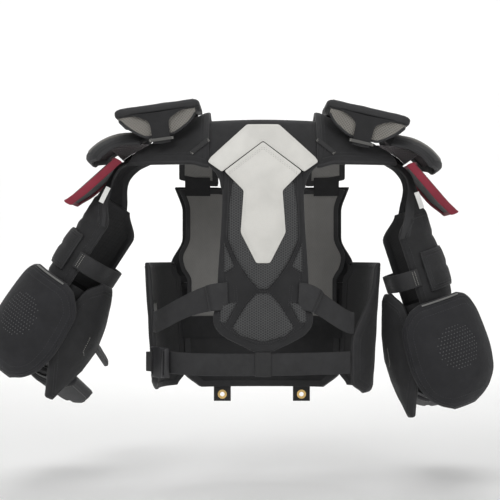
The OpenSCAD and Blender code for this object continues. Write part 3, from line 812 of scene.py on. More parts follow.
def make_belly():
    scale, place = RING_SCALE, ring_place()

    def apron(name, node, body, inset, bottom, top, t_in, t_out, deep, channels, seed):
        grid = band_grid(lambda z: 180 - BELLY_ANGLE + inset(z), lambda z: 180 + BELLY_ANGLE - inset(z),
                         bottom, top, 60, 26, scale)
        lines = [line((142 * scale, z), (180 * scale, z - 5), (218 * scale, z)) for z in channels]
        pad = Pad(place, grid, t_in, t_out, edge=min(8, (t_out - t_in) * 0.45), soft=18,
                  relief=grooves(lines, deep, 4.5, crumple(0.6, 30, seed)))
        sewn(name, body, [node], pad, NYLON, width=10, fill=0.75, seams=[(14, GREY_THREAD)])

    apron("belly_block_upper", "belly_upper", "torso", flat_at(0.0), BELLY_SPLIT + 1.5, CHEST_BOTTOM - 2,
          CHEST_IN, CHEST_OUT - 2.5, 3.0, (-307,), 5)
    apron("belly_block_lower", "belly_lower", "belly_apron", lambda z: 14 * ease((-410 - z) / 50) ** 2,
          BELLY_BOTTOM, BELLY_SPLIT - 1.5, PAD_IN, CHEST_OUT - 4.5, 3.0, (-436,), 6)
    apron("belly_cover", "belly_rib", "belly_apron", flat_at(9.0), -424.7, BELLY_SPLIT - 14.3,
          CHEST_OUT - 3.4, CHEST_OUT + 4.6, 2.4, (-382, -404), 7)

    # the cloth hinge across the fold, inside
    a = np.linspace(180 - 46, 180 + 46, 64)
    rows = [on_ring(a, z, 1.9) for z in np.linspace(-366, -328, 12)]
    middle = on_ring(180.0, BELLY_SPLIT, 2.0)
    cloth_band("belly_hinge_cloth", rows, NYLON_SOFT, ("torso", "belly_apron"),
               (middle + [0, 0, 12], middle - [0, 0, 12]), [], 17, 0.0)


def make_flanks():
    edges = {LEFT: look((-446, 86), (-430, 79), (-340, 78), (-234, 88)),
             RIGHT: look((-446, 60), (-430, 50), (-360, 48), (-314, 59), (-270, 76), (-234, 84))}
    for side, back in edges.items():
        def front(z):
            return 180 - BELLY_ANGLE - 1.3 - 4 * ease((z + 262) / 14) - 8 * ease((-425 - z) / 22)
        grid = band_grid(lambda z: back(z) + 4 * ease((-422 - z) / 24) ** 2, front, -446, -234, 30, 56,
                         RING_SCALE)
        channel = line((95 * RING_SCALE, -330), (134 * RING_SCALE, -330))
        pad = Pad(ring_place(side), grid, PAD_IN + 0.2, 11.8, edge=4, soft=12,
                  relief=grooves([channel], 2, 4, crumple(0.5, 28, 8)))
        key = SIDE_NAME[side]
        sewn(f"flank_wing_{key}", "torso", [f"side_wing_{key}"], pad, NYLON, DARK_LINING,
             width=9, slot="black_shell", seams=[(13, THREAD)])
        # a patch of pale lining sewn inside, near the back edge
        start = 85 if side == LEFT else 78
        grid = band_grid(flat_at(start), flat_at(start + 19), -352, -300, 16, 16, RING_SCALE)
        pad = Pad(ring_place(side), grid, PAD_IN - 1.0, PAD_IN + 0.6, edge=0.7, soft=2)
        sewn(f"flank_patch_{SIDE_NAME[side]}", "torso", [], pad, LINER, width=2.5, proud=0.2, slot="liner")


# ---- yoke ----
NECK_X, YOKE_END_X, YOKE_BACK_Z = 88.0, 222.0, -74.0


def spine_top(x):
    return -39 - 0.775 * np.minimum(np.abs(x), 63)


def back_yoke_bottom(x):
    return spine_top(x) + 1.5 + 0.45 * np.maximum(0, np.abs(x) - 64)


def make_yoke():
    grid = panel_grid(flat_at(86.3), back_yoke_bottom, flat_at(0.0), 48, 14)
    pad = Pad(on_back, grid, PAD_IN, YOKE_OUT - 0.2, edge=5, soft=10)
    sewn("yoke_back", "torso", ["back_yoke"], pad, NYLON, LINER, width=6)

    def shoulder_angle(x, z):
        return np.degrees(np.arcsin(np.clip((z - ARCH_Z) / (top_z(x) - ARCH_Z), -1, 1)))

    lap = 2.2             # millimetres a degree over the shoulder, for unrolling
    for side in (LEFT, RIGHT):
        u, v = np.meshgrid(spaced(26), spaced(52, 0.3))
        x_in = mix(NECK_X, 78, ease((v - 0.55) / 0.45))
        x_out = curve(v, [(0, YOKE_END_X), (0.17, 212), (0.38, 142), (0.6, 142), (1, 144)])
        x = mix(x_in, x_out, u)
        z_back = YOKE_BACK_Z - 6 * ease(1 - (x - NECK_X) / 30)
        z_front = np.maximum(CHEST_TOP + 2, mix(CHEST_TOP, -90, u))
        a = mix(shoulder_angle(x, z_back), 180 - shoulder_angle(x, z_front), v)
        pad = Pad(lambda x, s, t: mirrored(side, on_shoulder(x, s / lap, t)), np.stack([x, a * lap], -1),
                  PAD_IN, YOKE_OUT - 0.2, edge=5.5, soft=14, relief=crumple(0.7, 30, 11 + side))
        sewn(f"yoke_pad_{SIDE_NAME[side]}", "torso", [f"yoke_{SIDE_NAME[side]}"], pad, NYLON, LINER, width=9,
             proud=1.4, slot="black_shell", seams=[(13, THREAD)])

        # the gore that rounds the armhole between yoke and spine pad
        corners = [(63, -74), (93, -71), (84, -78.5), (75, -88), (69, -100), (66.8, -114), (63, -114)]
        outline = rounded(corners, 3, 120)
        pad = Pad(lambda x, z, t: mirrored(side, on_back(x, z, t)), disc_grid(outline, 8, (66.5, -80)),
                  PAD_IN + 1, YOKE_OUT - 1.6, edge=5, soft=5, ring=True)
        sewn(f"armhole_gore_{SIDE_NAME[side]}", "torso", [], pad, NYLON, LINER, width=3.5, proud=0.9)

        # the seam cloth that joins the yoke's front end to the chest
        grid = panel_grid(flat_at(22), flat_at(CHEST_TOP - 15), flat_at(CHEST_TOP + 17), 14, 14,
                          flat_at(113 * side))
        pad = Pad(on_front, grid, PAD_IN - 2.0, PAD_IN - 0.3, edge=0.8, soft=3)
        piece = Piece(f"front_seam_{SIDE_NAME[side]}")
        pad.build(piece, NYLON)
        piece.done("torso", [], "black_shell", 0.3)

    piece = Piece("lacing_loops")
    for side in (LEFT, RIGHT):
        k = np.linspace(-17, 17, 16)
        x, z = 102 + 0.78 * k, -44 - 0.62 * k
        bow = YOKE_OUT + 0.4 + 1.5 * np.sin(np.linspace(0, np.pi, 16)) ** 0.6
        path = mirrored(side, on_back(x, z, bow))
        side_v, up = frame_along(path, mirrored(side, on_back(x, z, bow + 5)))
        sweep(piece, WEBBING, path, side_v, up, tape_section(7, 1.3))
        for end in (0, -1):
            def tack(ab, lift=0.0):
                return mirrored(side, on_back(ab[:, 0], ab[:, 1], YOKE_OUT + 1.9 + lift))
            centre = np.array([x[end], z[end]])
            for shift in (-1.0, 0.0, 1.0):
                mid = centre + shift * np.array([0.78, -0.62]) * (1 if end == 0 else -1)
                row = [mid - np.array([0.62, 0.78]) * 3.4, mid + np.array([0.62, 0.78]) * 3.4]
                stitches(piece, PALE_THREAD, tack, row, 2.3, 1.1)
    piece.done("torso", ["lace_loops"], "webbing")


# ---- spine ----
MESH_IN, MESH_OUT = 13.3, 17.3


def make_spine():
    half = look((-374, 15), (-368, 27), (-360, 42), (-350, 58), (-338, 71), (-325, 78), (-312, 79.5),
                (-296, 77), (-261, 73), (-218, 71), (-120, 65.5), (-39, 63.5))
    grid = panel_grid(half, flat_at(-374.0), spine_top, 36, 84)
    shield_side = [(-90, 57), (-140, 57), (-185, 60), (-200, 57), (-232, 41), (-258, 23), (-277, 8)]
    channels = [line(*[(s * x, z) for z, x in shield_side]) for s in (-1, 1)]
    channels += [line((s * 12, -281), (s * 29, -302), (s * 50, -339)) for s in (-1, 1)]
    pad = Pad(on_back, grid, PAD_IN, YOKE_OUT - 0.3, edge=5.5, soft=12,
              relief=grooves(channels, 1.6, 3.2, crumple(0.35, 24, 21)))
    sewn("spine_cushion", "torso", ["spine_pad"], pad, NYLON, LINER, width=10,
         seams=[(13.5, THREAD)])

    panels = [
        rounded(both_sides([(7, -275), (23, -257), (41, -230), (56, -196), (55, -150), (50, -110), (48, -100),
                            (26, -82)]), 5),
        rounded([(-10, -281), (10, -281), (27, -300), (50, -337), (35, -350), (0, -359), (-35, -350),
                 (-50, -337), (-27, -300)], 5)]
    for s in (-1, 1):
        panels.append(rounded([(s * 62.5, -200), (s * 63, -250), (s * 45.5, -239)], 4))
        panels.append(rounded([(s * 68, -299), (s * 41, -295), (s * 59, -329), (s * 70, -328)], 4))
    piece = Piece("spine_mesh_panels")
    for outline in panels:
        low = disc_grid(outline, 16)
        size = np.linalg.norm(outline - outline.mean(0), axis=1).mean()
        pad = Pad(on_back, low, YOKE_OUT - 1.8, MESH_OUT, edge=1.0, soft=min(9, size * 0.5), ring=True)
        pad.build(piece, SPACER)
        pad.stitch(piece, THREAD, -2.4, pitch=4.0)
    piece.done("torso", ["spine_mesh"], "spine_mesh", 0.6)


def make_plates():
    """The two white overlays. The lower one sinks onto the upper at the chevron seam."""
    def sunk(x, z, t):
        return on_back(x, z, t - 2.5 * ease((z + 104) / 44) * ease((120 - np.abs(x)) / 40))

    upper = rounded([(-26, -8), (26, -8), (85, -63), (89, -70), (66, -86.5), (0, -36), (-66, -86.5),
                     (-89, -70), (-85, -63)], 3, 260)
    lower = rounded([(0, -37.5), (62, -85.5), (31, -117), (36, -184), (11, -233), (-11, -233), (-36, -184),
                     (-31, -117), (-62, -85.5)], 3, 260)
    for name, node, outline, centre, place, base in (
            ("back_plate_upper", "spine_plate_upper", upper, (0, -21), on_back, YOKE_OUT + 0.3),
            ("back_plate_lower", "spine_plate_lower", lower, (0, -112), sunk, MESH_OUT + 0.3)):
        pad = Pad(place, disc_grid(outline, 30, centre), base, base + 1.8, edge=1.0, soft=3.5, ring=True)
        piece = Piece(name)
        pad.build(piece, WHITE, WHITE_EDGE)
        pad.stitch(piece, PALE_THREAD, 4.5, pitch=3.6, size=0.8)
        if node == "spine_plate_lower":
            for drop, size in ((8.0, 1.0), (11.0, 1.0)):
                row = line((-60, -84 - drop), (0, -38 - drop), (60, -84 - drop))
                stitches(piece, GREY_THREAD, pad.at, row[2:-2], 4.6, size)
        piece.done("torso", [node], "white_overlay")


# ---- straps ----
WAIST_Z, STRAP_W, STRAP_T = -396.0, 36.0, 2.6


def ribbon(piece, material, a, z, width, t, side=RIGHT, thick=STRAP_T, flare=None):
    """Webbing round the trunk through angles a and heights z."""
    path = mirrored(side, on_ring(a, z, t))
    up_side = mirrored(side, on_ring(a, z, t + 5))
    across, up = frame_along(path, up_side)
    width = np.broadcast_to(width, a.shape)
    sections = np.stack([np.array(tape_section(w, thick)) for w in width])
    sweep(piece, material, path, across, up, sections)
    return path


def make_straps():
    for side in (LEFT, RIGHT):
        u = np.linspace(0, 1, 60)
        a = mix(11.5, 76.3 if side == LEFT else 48.8, u)
        x = (half_w(-300.0) + 8) * power(np.sin(np.radians(a)), 2 / ROUND)
        z = mix(-286, -331, ease(u**0.9))
        width = mix(44.5, 35, ease(u * 2.2))
        t = mix(PAD_IN + 0.1, MESH_IN + 0.2, ease((92 - x) / 12)) + 0.5 * np.sin(u * 9 + side)
        piece = Piece(f"cross_strap_{SIDE_NAME[side]}")
        ribbon(piece, ELASTIC, a, z, width, t, side)

        def on_strap(ab, lift=0.0):
            return mirrored(side, on_back(ab[:, 0], ab[:, 1], MESH_IN + 3.0 + lift))
        for x0 in (43.0, 47.0):
            stitches(piece, THREAD, on_strap, [(x0, -268), (x0 - 3, -303)], 3.4, 0.9)
        piece.done("torso", [f"diagonal_strap_{SIDE_NAME[side]}"], "webbing")
    a = np.linspace(-56.5, 46.8, 110)
    piece = Piece("waist_elastic")
    z = WAIST_Z + 0.9 * np.sin(np.radians(a * 3.1)) + 1.2 * (np.abs(a) / 57) ** 2
    ribbon(piece, ELASTIC, a, z, STRAP_W, PAD_IN + 0.1 + 0 * a)
    piece.done("torso", ["waist_strap"], "webbing")

    # the keeper that holds the strap's tip to the spine pad, a loop in the plane x = 0
    piece = Piece("tip_keeper")
    y0 = MID_Y - TORSO_HALF_D
    out, high, low = y0 - PAD_IN - STRAP_T - 2.2, -373.0, WAIST_Z - STRAP_W / 2 - 1.6
    loop = [(y0 - 5, high + 1), (out + 0.3, high - 4), (out, high - 10), (out - 0.3, WAIST_Z),
            (out, low + 6), (out + 1.4, low + 1), (y0 - 4.6, low - 0.4), (y0 - 2.4, low + 1),
            (y0 - 1.6, low + 8), (y0 - 1.4, WAIST_Z), (y0 - 1.6, high - 8), (y0 - 3, high - 1)]
    loop = resample(np.array(loop), step=2.0, closed=True)
    path = np.stack([np.zeros(len(loop)), loop[:, 0], loop[:, 1]], -1)
    tangent = unit(np.roll(path, -1, 0) - np.roll(path, 1, 0))
    across = np.tile([1.0, 0, 0], (len(path), 1))
    sweep(piece, WEBBING, path, across, np.cross(across, tangent), tape_section(25.6, 1.5), closed=True)
    piece.done("torso", ["strap_keeper"], "webbing")


# ---- hard parts: rounded copies of their CAD nodes ----
def rounded_copy(name, node, body, material, radius, segments=3):
    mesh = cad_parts[node].data.copy()
    mesh.name = name
    bm = bmesh.new()
    bm.from_mesh(mesh)
    bmesh.ops.remove_doubles(bm, verts=bm.verts, dist=1e-5)
    bmesh.ops.dissolve_limit(bm, angle_limit=math.radians(1), verts=bm.verts, edges=bm.edges)
    sharp = [e for e in bm.edges if len(e.link_faces) == 2 and e.calc_face_angle(0) > math.radians(35)]
    bmesh.ops.bevel(bm, geom=sharp, offset=radius * MM, segments=segments, profile=0.5, affect="EDGES",
                    clamp_overlap=True)
    bmesh.ops.recalc_face_normals(bm, faces=bm.faces)
    bm.to_mesh(mesh)
    bm.free()
    mesh.materials.clear()
    mesh.materials.append(material)
    for poly in mesh.polygons:
        poly.material_index = 0
    mesh.shade_smooth()
    mesh.set_sharp_from_angle(angle=math.radians(40))
    obj = bpy.data.objects.new(name, mesh)
    bpy.context.scene.collection.objects.link(obj)
    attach(obj, body)
    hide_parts(node)
    return obj


def make_buckle():
    rounded_copy("buckle_body", "buckle_housing", "torso", PLASTIC, 0.8)
    rounded_copy("buckle_tongue", "buckle_clip", "buckle_clip", PLASTIC, 0.8)
    rounded_copy("prong_top", "buckle_prong_upper", "prong_upper", PLASTIC, 0.5)
    rounded_copy("prong_bottom", "buckle_prong_lower", "prong_lower", PLASTIC, 0.5)
    rounded_copy("buckle_webbing", "buckle_anchor", "torso", WEBBING, 0.6)
    rounded_copy("lace_tabs", "tie_down_tabs", "belly_apron", WEBBING, 0.6)
    finish_node("grommets", BRASS)
    finish_node("heart_plate", HEART)


# ---- floaters ----
FLOATER_BACK, FLOATER_FRONT, FLOATER_L, BOARD_T = -80.0, 76.0, 142.0, 13.0


def floater_corners(x_in, x_out, gap):
    """Corners from x_in to x_out, a gap inside the board's back and front edges."""
    back, front = FLOATER_BACK + gap, FLOATER_FRONT - gap
    return [(x_in, back), (x_out, back), (x_out, front), (x_in, front)]


def make_floater_board(side):
    key = SIDE_NAME[side]
    channel = rounded(floater_corners(30, FLOATER_L - 26, 26), 12, 120)
    outline = rounded(floater_corners(4, FLOATER_L, 0), 15, 220)
    pad = Pad(lambda x, y, t: on_floater(side, points(x, y, t)), disc_grid(outline, 26), 0.2, BOARD_T,
              edge=7.5, soft=16, ring=True,
              relief=grooves([np.concatenate([channel, channel[:1]])], 2.2, 4, crumple(0.5, 26, 31)))
    sewn(f"floater_pad_{key}", f"floater_{key}", [f"floater_board_{key}"], pad, NYLON_BLUE, NYLON, width=8,
         proud=1.2, fill=0.8, seams=[(11, GREY_THREAD)])


def make_floater_mesh(side):
    """The mesh cup that hangs from the board, one lap from its inner back corner."""
    key = SIDE_NAME[side]
    x_in, x_out, wall, shallow, tuck = 8.0, FLOATER_L - 4, 4.0, 8.0, 3.0
    lap = resample(np.array(floater_corners(x_in, x_out, tuck)), n=110)
    kernel = np.ones(7) / 7
    smooth = np.stack([np.convolve(np.pad(lap[:, i], 3, mode="edge"), kernel, "valid") for i in (0, 1)], -1)
    k = np.clip((lap[:, 0] - x_in) / (x_out - x_in), 0, 1)
    deep = curve(k, [(0, 10), (0.16, 28), (0.38, 40), (0.66, 40), (0.84, 27), (1, 8)])
    at_back = lap[:, 1] <= FLOATER_BACK + tuck + 0.01
    at_front = lap[:, 1] >= FLOATER_FRONT - tuck - 0.01
    drop = np.where(at_back, deep, np.where(at_front, shallow + 0.4 * (deep - shallow), shallow))
    tangent = unit(np.gradient(smooth, axis=0))
    inward = np.stack([-tangent[:, 1], tangent[:, 0]], -1)

    piece = Piece(f"floater_mesh_{key}")
    rows = np.linspace(0, 1, 12)
    z = -0.8 - rows[:, None] * drop[None]
    uv = np.stack([np.repeat(along(smooth)[None], len(rows), 0), z], -1)
    for depth_in, material, billow in ((0.4, GREY_MESH, 0.9), (wall, LINING_MESH, 0.27)):
        flat_xy = smooth + inward * (depth_in - billow * np.sin(rows * np.pi)[:, None, None])
        verts = on_floater(side, np.concatenate([flat_xy, z[..., None]], -1))
        piece.add(verts, strip(len(rows) - 1, len(smooth) - 1), material, uv)
    low_tape = [(-2.7, 3), (-2.7, 0), (-1.35, -0.8), (1.35, -0.8), (2.7, 0), (2.7, 3)]
    top_tape = [(-3, 0.4), (-3.15, -2), (-2.7, -2.6), (2.7, -2.6), (3.15, -2), (3, 0.4)]
    for z_tape, section in ((-0.8 - drop, low_tape), (-0.4 + 0 * drop, top_tape)):
        rim = np.concatenate([smooth + inward * 2.2, z_tape[:, None]], -1)
        path = on_floater(side, rim)
        across, up = frame_along(path, on_floater(side, rim + np.array([0, 0, 5.0])))
        sweep(piece, TAPE, path, across, up, section)

    def on_wall(ab, lift=0.0):
        return on_floater(side, points(ab[:, 0], FLOATER_BACK + 2.2 - lift, ab[:, 1]))
    for x0, x1 in ((26, 52), (94, 122)):
        zigzag = -13.0 - 3.0 * (np.arange(9) % 2)
        stitches(piece, GREY_THREAD, on_wall, np.stack([np.linspace(x0, x1, 9), zigzag], -1), 4.2, 1.0)
    piece.done(f"floater_{key}", [f"floater_cup_{key}"], "grey_mesh", 0.2)


def make_floater_tongue(side):
    """The T-shaped tongue down the cup's back, and its webbing bar."""
    key, mid, bar_z = SIDE_NAME[side], 72, -46.5

    def behind(gap):
        return lambda ab, lift=0.0: on_floater(side, points(ab[:, 0], FLOATER_BACK - gap - lift, ab[:, 1]))
    z = np.array([-0.5, -3, -8, -14, -20, -28, -36, -44, -52])
    half = curve(z, [(-52, 14.5), (-22, 15), (-16, 17), (-10, 24), (-5, 36), (-0.5, 46)])
    u = np.linspace(-1, 1, 13)
    x = mid + half[:, None] * u
    zz = z[:, None] - 1.5 * (1 - np.abs(u))
    bow = 0.9 * (1 - u**2)
    piece = Piece(f"floater_tongue_{key}")
    sheet(piece, on_floater(side, points(x, FLOATER_BACK - 2.6 - bow, zz)),
          on_floater(side, points(x, FLOATER_BACK + 0.2 - bow, zz)), np.stack([zz, x], -1), NYLON, TAPE)
    for edge in (-1, 1):
        row = [(mid + edge * (h - 2.2), q) for h, q in zip(half, z)]
        stitches(piece, THREAD, behind(3.1), row[1:], 3.6, 0.9)
    bar = points(np.linspace(mid - 20, mid + 20, 14), FLOATER_BACK - 4.0, bar_z)
    path = on_floater(side, bar)
    across, up = frame_along(path, on_floater(side, bar - np.array([0, 5.0, 0])))
    sweep(piece, BAR_TAPE, path, across, up, tape_section(5, 1.4))
    for x0 in (mid - 18, mid + 18):
        stitches(piece, PALE_THREAD, behind(5.5), [(x0, -44.4), (x0, -49.0)], 1.6, 1.2)
    piece.done(f"floater_{key}", [f"floater_strap_{key}"], "webbing")


# ---- shoulder caps and the wings under them ----
CAP_HALF, CAP_T = 62.0, 8.0
WING_HALF, WING_T, WING_SET = 58.0, 12.0, 12.75


def cap_r(a):
    return curve(a, [(3, 106), (7, 116), (12, 118), (20, 115), (40, 104), (57, 94), (78, 88)])


def make_cap(side):
    key, body = SIDE_NAME[side], f"shoulder_cap_{SIDE_NAME[side]}"

    def dome(y, s, t):
        a = np.radians(s / CAP_SCALE)
        r = (cap_r(s / CAP_SCALE) - CAP_T + t) * (1 - 0.2 * (y / CAP_HALF) ** 2)
        return on_cap(side, points(r * np.cos(a), y, r * np.sin(a)))
    u, v = np.meshgrid(spaced(32), spaced(36))
    y = 2 * u - 1
    grid = np.stack([y * CAP_HALF, mix(78 - 14 * y * y, 3 + 8 * y * y, v) * CAP_SCALE], -1)
    channel = line((-CAP_HALF, 40 * CAP_SCALE), (CAP_HALF, 40 * CAP_SCALE))
    pad = Pad(dome, grid, 0.2, CAP_T - 0.2, edge=3.6, soft=11,
              relief=grooves([channel], 1.6, 4, crumple(0.5, 24, 41)))
    sewn(f"cap_shell_{key}", body, [f"shoulder_cap_{key}"], pad, NYLON, LINING_MESH, width=9.5, proud=1.2,
         slot="cap_grey", seams=[(12.5, THREAD)])

    # the grey panel on the crown
    grid = np.stack([y * 34, mix(72, 12, v) * CAP_SCALE], -1)
    pad = Pad(dome, grid, CAP_T - 2.4, CAP_T + 0.6, edge=1.0, soft=3)
    piece = Piece(f"cap_panel_{key}")
    pad.build(piece, CAP_GREY)
    pad.stitch(piece, GREY_THREAD, 4.0)
    piece.done(body, [], "cap_grey", 0.6)

    # the lining and the soft hem that hang inside the dome's front
    def curtain(s, r, t):
        a = np.radians(s / CAP_SCALE)
        return on_cap(side, points(r * np.cos(a), t, r * np.sin(a)))
    u, v = np.meshgrid(spaced(26), spaced(8))
    a, seam = mix(27, 76, u), mix(66, 64, u)
    under_dome = 0.905 * (cap_r(a) - CAP_T) - 0.5
    # the lining's pale mesh is a brightened copy, painted light against the dome's self-shadow
    for name, low, high, face in (("hem", mix(54, 60, u), seam - 0.2, NYLON),
                                  ("lining", seam + 0.2, under_dome, CAP_LINING_PAINTED_LIGHT)):
        pad = Pad(curtain, np.stack([a * CAP_SCALE, mix(low, high, v)], -1), 39.5, 44.5, edge=2, soft=4)
        piece = Piece(f"cap_{name}_{key}")
        pad.build(piece, NYLON, face)
        piece.done(body, [], "black_shell", 0.6)


def make_wing(side):
    """The plate under the cap, with black faces and a red edge all round."""
    key, tilt = SIDE_NAME[side], turn("y", -WING_SET)

    def plate(y, d, t):
        p = mix(71, 106, (d + 12) / 102) - 10 * (y / WING_HALF) ** 2 - WING_T / 2 + t
        return on_cap(side, points(p, y, -d) @ tilt.T)
    u, v = np.meshgrid(spaced(26), spaced(26))
    y = (2 * u - 1) * (1 - 0.25 * ease((v - 0.6) / 0.4) ** 2) * WING_HALF
    pad = Pad(plate, np.stack([y, mix(-12, 90, v)], -1), 1.8, WING_T - 1.8, edge=8.0, soft=6)
    piece = Piece(f"wing_plate_{key}")
    pad.build(piece, SLATE)
    rim, out, up, _ = pad.rim_frame(4.0, WING_T / 2, 3.0)
    half = [(1.8, 0), (1.5, -4.4), (0.4, -6.6), (-1.2, -6.9), (-5.5, -5.4)]
    section = [(a, -b) for a, b in half[:0:-1]] + half
    sweep(piece, RED, rim, out, up, section, closed=True)
    pad.stitch(piece, THREAD, 6.5, pitch=4.0)
    piece.done(f"shoulder_cap_{key}", [f"bicep_wing_{key}"], "red_edge", 0.7)


def make_label(side):
    """A folded tape label, left blank."""
    key, lean, length, width = SIDE_NAME[side], turn("y", -10), 28, 8

    def tag(x, z, y):
        return on_cap(side, points(x, y, z) @ lean.T + np.array([60, -62, -50]))
    x, z = np.meshgrid(np.linspace(0, width, 5), np.linspace(0, length, 15))
    curl = 0.9 * np.sin(z / length * np.pi) * (2 * x / width - 1) ** 2
    piece = Piece(f"blank_label_{key}")
    sheet(piece, tag(x, z, -0.1 - curl), tag(x, z, 0.6 - curl), np.stack([x, z], -1), LABEL)
    stitches(piece, GREY_THREAD, lambda ab, lift=0.0: tag(ab[:, 0], ab[:, 1], -0.4 - lift),
             [(1, length - 2), (width - 1, length - 2)], 2.0, 0.6)
    piece.done(f"shoulder_cap_{key}", [f"care_label_{key}"], "label")


# ---- arms ----
SLEEVE_IN, SLEEVE_OUT, GUARD_OUT = 46.0, 56.0, 64.0


def make_upper_arm(side):
    key = SIDE_NAME[side]
    body = f"upper_arm_{key}"
    grid = band_grid(lambda d: -96 + 30 * ease((95 - d) / 40), lambda d: 118 - 40 * ease((95 - d) / 40),
                     238, 58, 56, 50, LIMB_SCALE)
    rings = [line((-90 * LIMB_SCALE, d), (112 * LIMB_SCALE, d + 3)) for d in (104, 150, 212)]
    pad = Pad(limb_place(side), grid, SLEEVE_IN + 0.2, SLEEVE_OUT - 0.3, edge=5, soft=13,
              relief=grooves(rings, 1.6, 4, crumple(1.1, 30, 51 + side, (1.0, 1.5))))
    sewn(f"sleeve_pad_{key}", body, [f"arm_sleeve_{key}"], pad, NYLON, DARK_LINING, width=9, proud=1.4,
         fill=0.6, seams=[(13, THREAD)])

    grid = band_grid(flat_at(-71.5), flat_at(71.5), 193.5, 127.5, 44, 22, LIMB_SCALE * 1.05)
    pad = Pad(limb_place(side, scale=LIMB_SCALE * 1.05), grid, SLEEVE_OUT + 0.6, GUARD_OUT - 1.6,
              edge=2.2, soft=30, relief=grooves([line((-60, 160), (60, 160))], 1.8, 4))
    sewn(f"biceps_pad_{key}", body, [f"bicep_guard_{key}"], pad, NYLON, width=5, proud=0.5,
         fill=0.8, seams=[(8.5, THREAD)])

    piece = Piece(f"biceps_strap_{key}")
    a = np.linspace(109, 275, 60)
    dip = np.sin(np.radians(np.clip((a - 120) * 180 / 142, 0, 180))) ** 2
    path = on_arm(side, round_limb(a, 165 + 0 * a, SLEEVE_OUT + 0.7 - 17 * dip))
    across, up = frame_along(path, on_arm(side, round_limb(a, 165 + 0 * a, SLEEVE_OUT + 6 - 17 * dip)))
    sweep(piece, ELASTIC, path, across, up, tape_section(29.5, 2.4))

    def on_end(ab, lift=0.0):
        return on_arm(side, round_limb(ab[:, 0], ab[:, 1], SLEEVE_OUT + 3.3 + lift))
    for a0 in (266, 270):
        stitches(piece, PALE_THREAD, on_end, [(a0, 153), (a0, 177)], 3.2, 1.1)
    piece.done(body, [f"bicep_strap_{key}"], "webbing")


def make_elbow(side):
    key = SIDE_NAME[side]
    lift = turn("x", (ELBOW_BEND / 2 - 39) * 0.3)

    def cup(s, d, t):
        r = curve(d, [(207, 82), (225, 87), (300, 91), (340, 87), (365, 76), (380, 64), (391, 50)]) - 7 + t
        local = round_limb(s / CUP_SCALE, d, r) + np.array([0, 0, ARM_L])
        return on_arm(side, local @ lift.T - np.array([0, 0, ARM_L]))
    half = look((207, 26), (215, 40), (250, 56), (310, 58), (350, 54), (375, 44), (391, 24))
    grid = band_grid(lambda d: -72 - half(d), lambda d: -72 + half(d), 390.5, 207.5, 48, 56, CUP_SCALE)
    pad = Pad(cup, grid, 0.3, 6.6, edge=3.4, soft=12)
    piece = Piece(f"elbow_dome_{key}")
    pad.build(piece, NYLON_BLUE, DARK_LINING)
    pad.bind(piece, TAPE, 7.0, 1.3)
    pad.stitch(piece, THREAD, 10.5)
    pad.stitch(piece, THREAD, 20)
    # rows of small breathing eyelets over the point of the elbow; their grey is a painted highlight for light
    # caught at the perforations
    for row in range(-6, 7):
        for col in range(-7, 8):
            s = (-72 + 3.5 * (col + 0.5 * (row % 2))) * CUP_SCALE
            d = 290 + 5.6 * row
            if (col / 6.6) ** 2 + (row / 6.4) ** 2 < 1:
                bead(piece, DOT, pad.at, (s, d), 1.25)
    # a grey piped hem along the dome's top
    s = np.linspace(-72 - 24, -72 + 24, 30) * CUP_SCALE
    hem = pad.at(np.stack([s, np.full(30, 209.5)], -1), 1.6)
    tube(piece, GREY_TAPE, hem, 1.5)
    piece.done(f"elbow_cup_{key}", [f"elbow_cup_{key}"], "black_shell", 0.6)

    def face(s, d, t):
        a = s / CUP_SCALE
        r = curve(d, [(178, 50), (200, 58), (250, 74), (285, 80)]) + 8 * ease((240 - a) / 40) - 9 + t
        return on_arm(side, round_limb(a, d, r))
    grid = band_grid(look((178, 176), (200, 164), (260, 160), (320, 172), (352, 186), (384, 196)),
                     look((178, 206), (205, 231.5), (250, 239.5), (300, 236.5), (330, 226.5), (350, 219.5),
                          (384, 206)), 383, 179, 36, 52, CUP_SCALE)
    bend = line((222 * CUP_SCALE, 232), (224 * CUP_SCALE, 300), (206 * CUP_SCALE, 318))
    pad = Pad(face, grid, 0.3, 8.6, edge=4.2, soft=14, relief=grooves([bend], 1.2, 3, crumple(0.7, 30, 61)))
    piece = Piece(f"elbow_side_pad_{key}")
    pad.build(piece, NYLON, DARK_LINING)
    pad.bind(piece, TAPE, 8.0, 1.4)
    pad.stitch(piece, THREAD, 12)
    hook = line((200 * CUP_SCALE, 262), (200 * CUP_SCALE, 288), (194 * CUP_SCALE, 294))
    stitches(piece, PALE_THREAD, pad.at, hook, 3.2, 1.1)
    piece.done(f"upper_arm_{key}", [f"elbow_wing_{key}"], "black_shell", 0.6)


def bead(piece, material, at, spot, radius):
    """A small six-sided dome on the cloth."""
    a = np.linspace(0, 2 * np.pi, 6, endpoint=False)
    ring = np.stack([spot[0] + radius * np.cos(a), spot[1] + radius * np.sin(a)], -1)
    verts = np.concatenate([at(ring, -0.2), at((ring + np.array(spot)) / 2, 0.5), at(np.array([spot]), 0.6)])
    faces = strip(1, 6, wrap=True) + [(6 + i, 6 + (i + 1) % 6, 12) for i in range(6)]
    piece.add(verts, faces, material, np.zeros((13, 2)))


FOREARM_TOP, FOREARM_L, FOREARM_IN, FOREARM_OUT = 64.0, 220.0, 50.0, 60.0


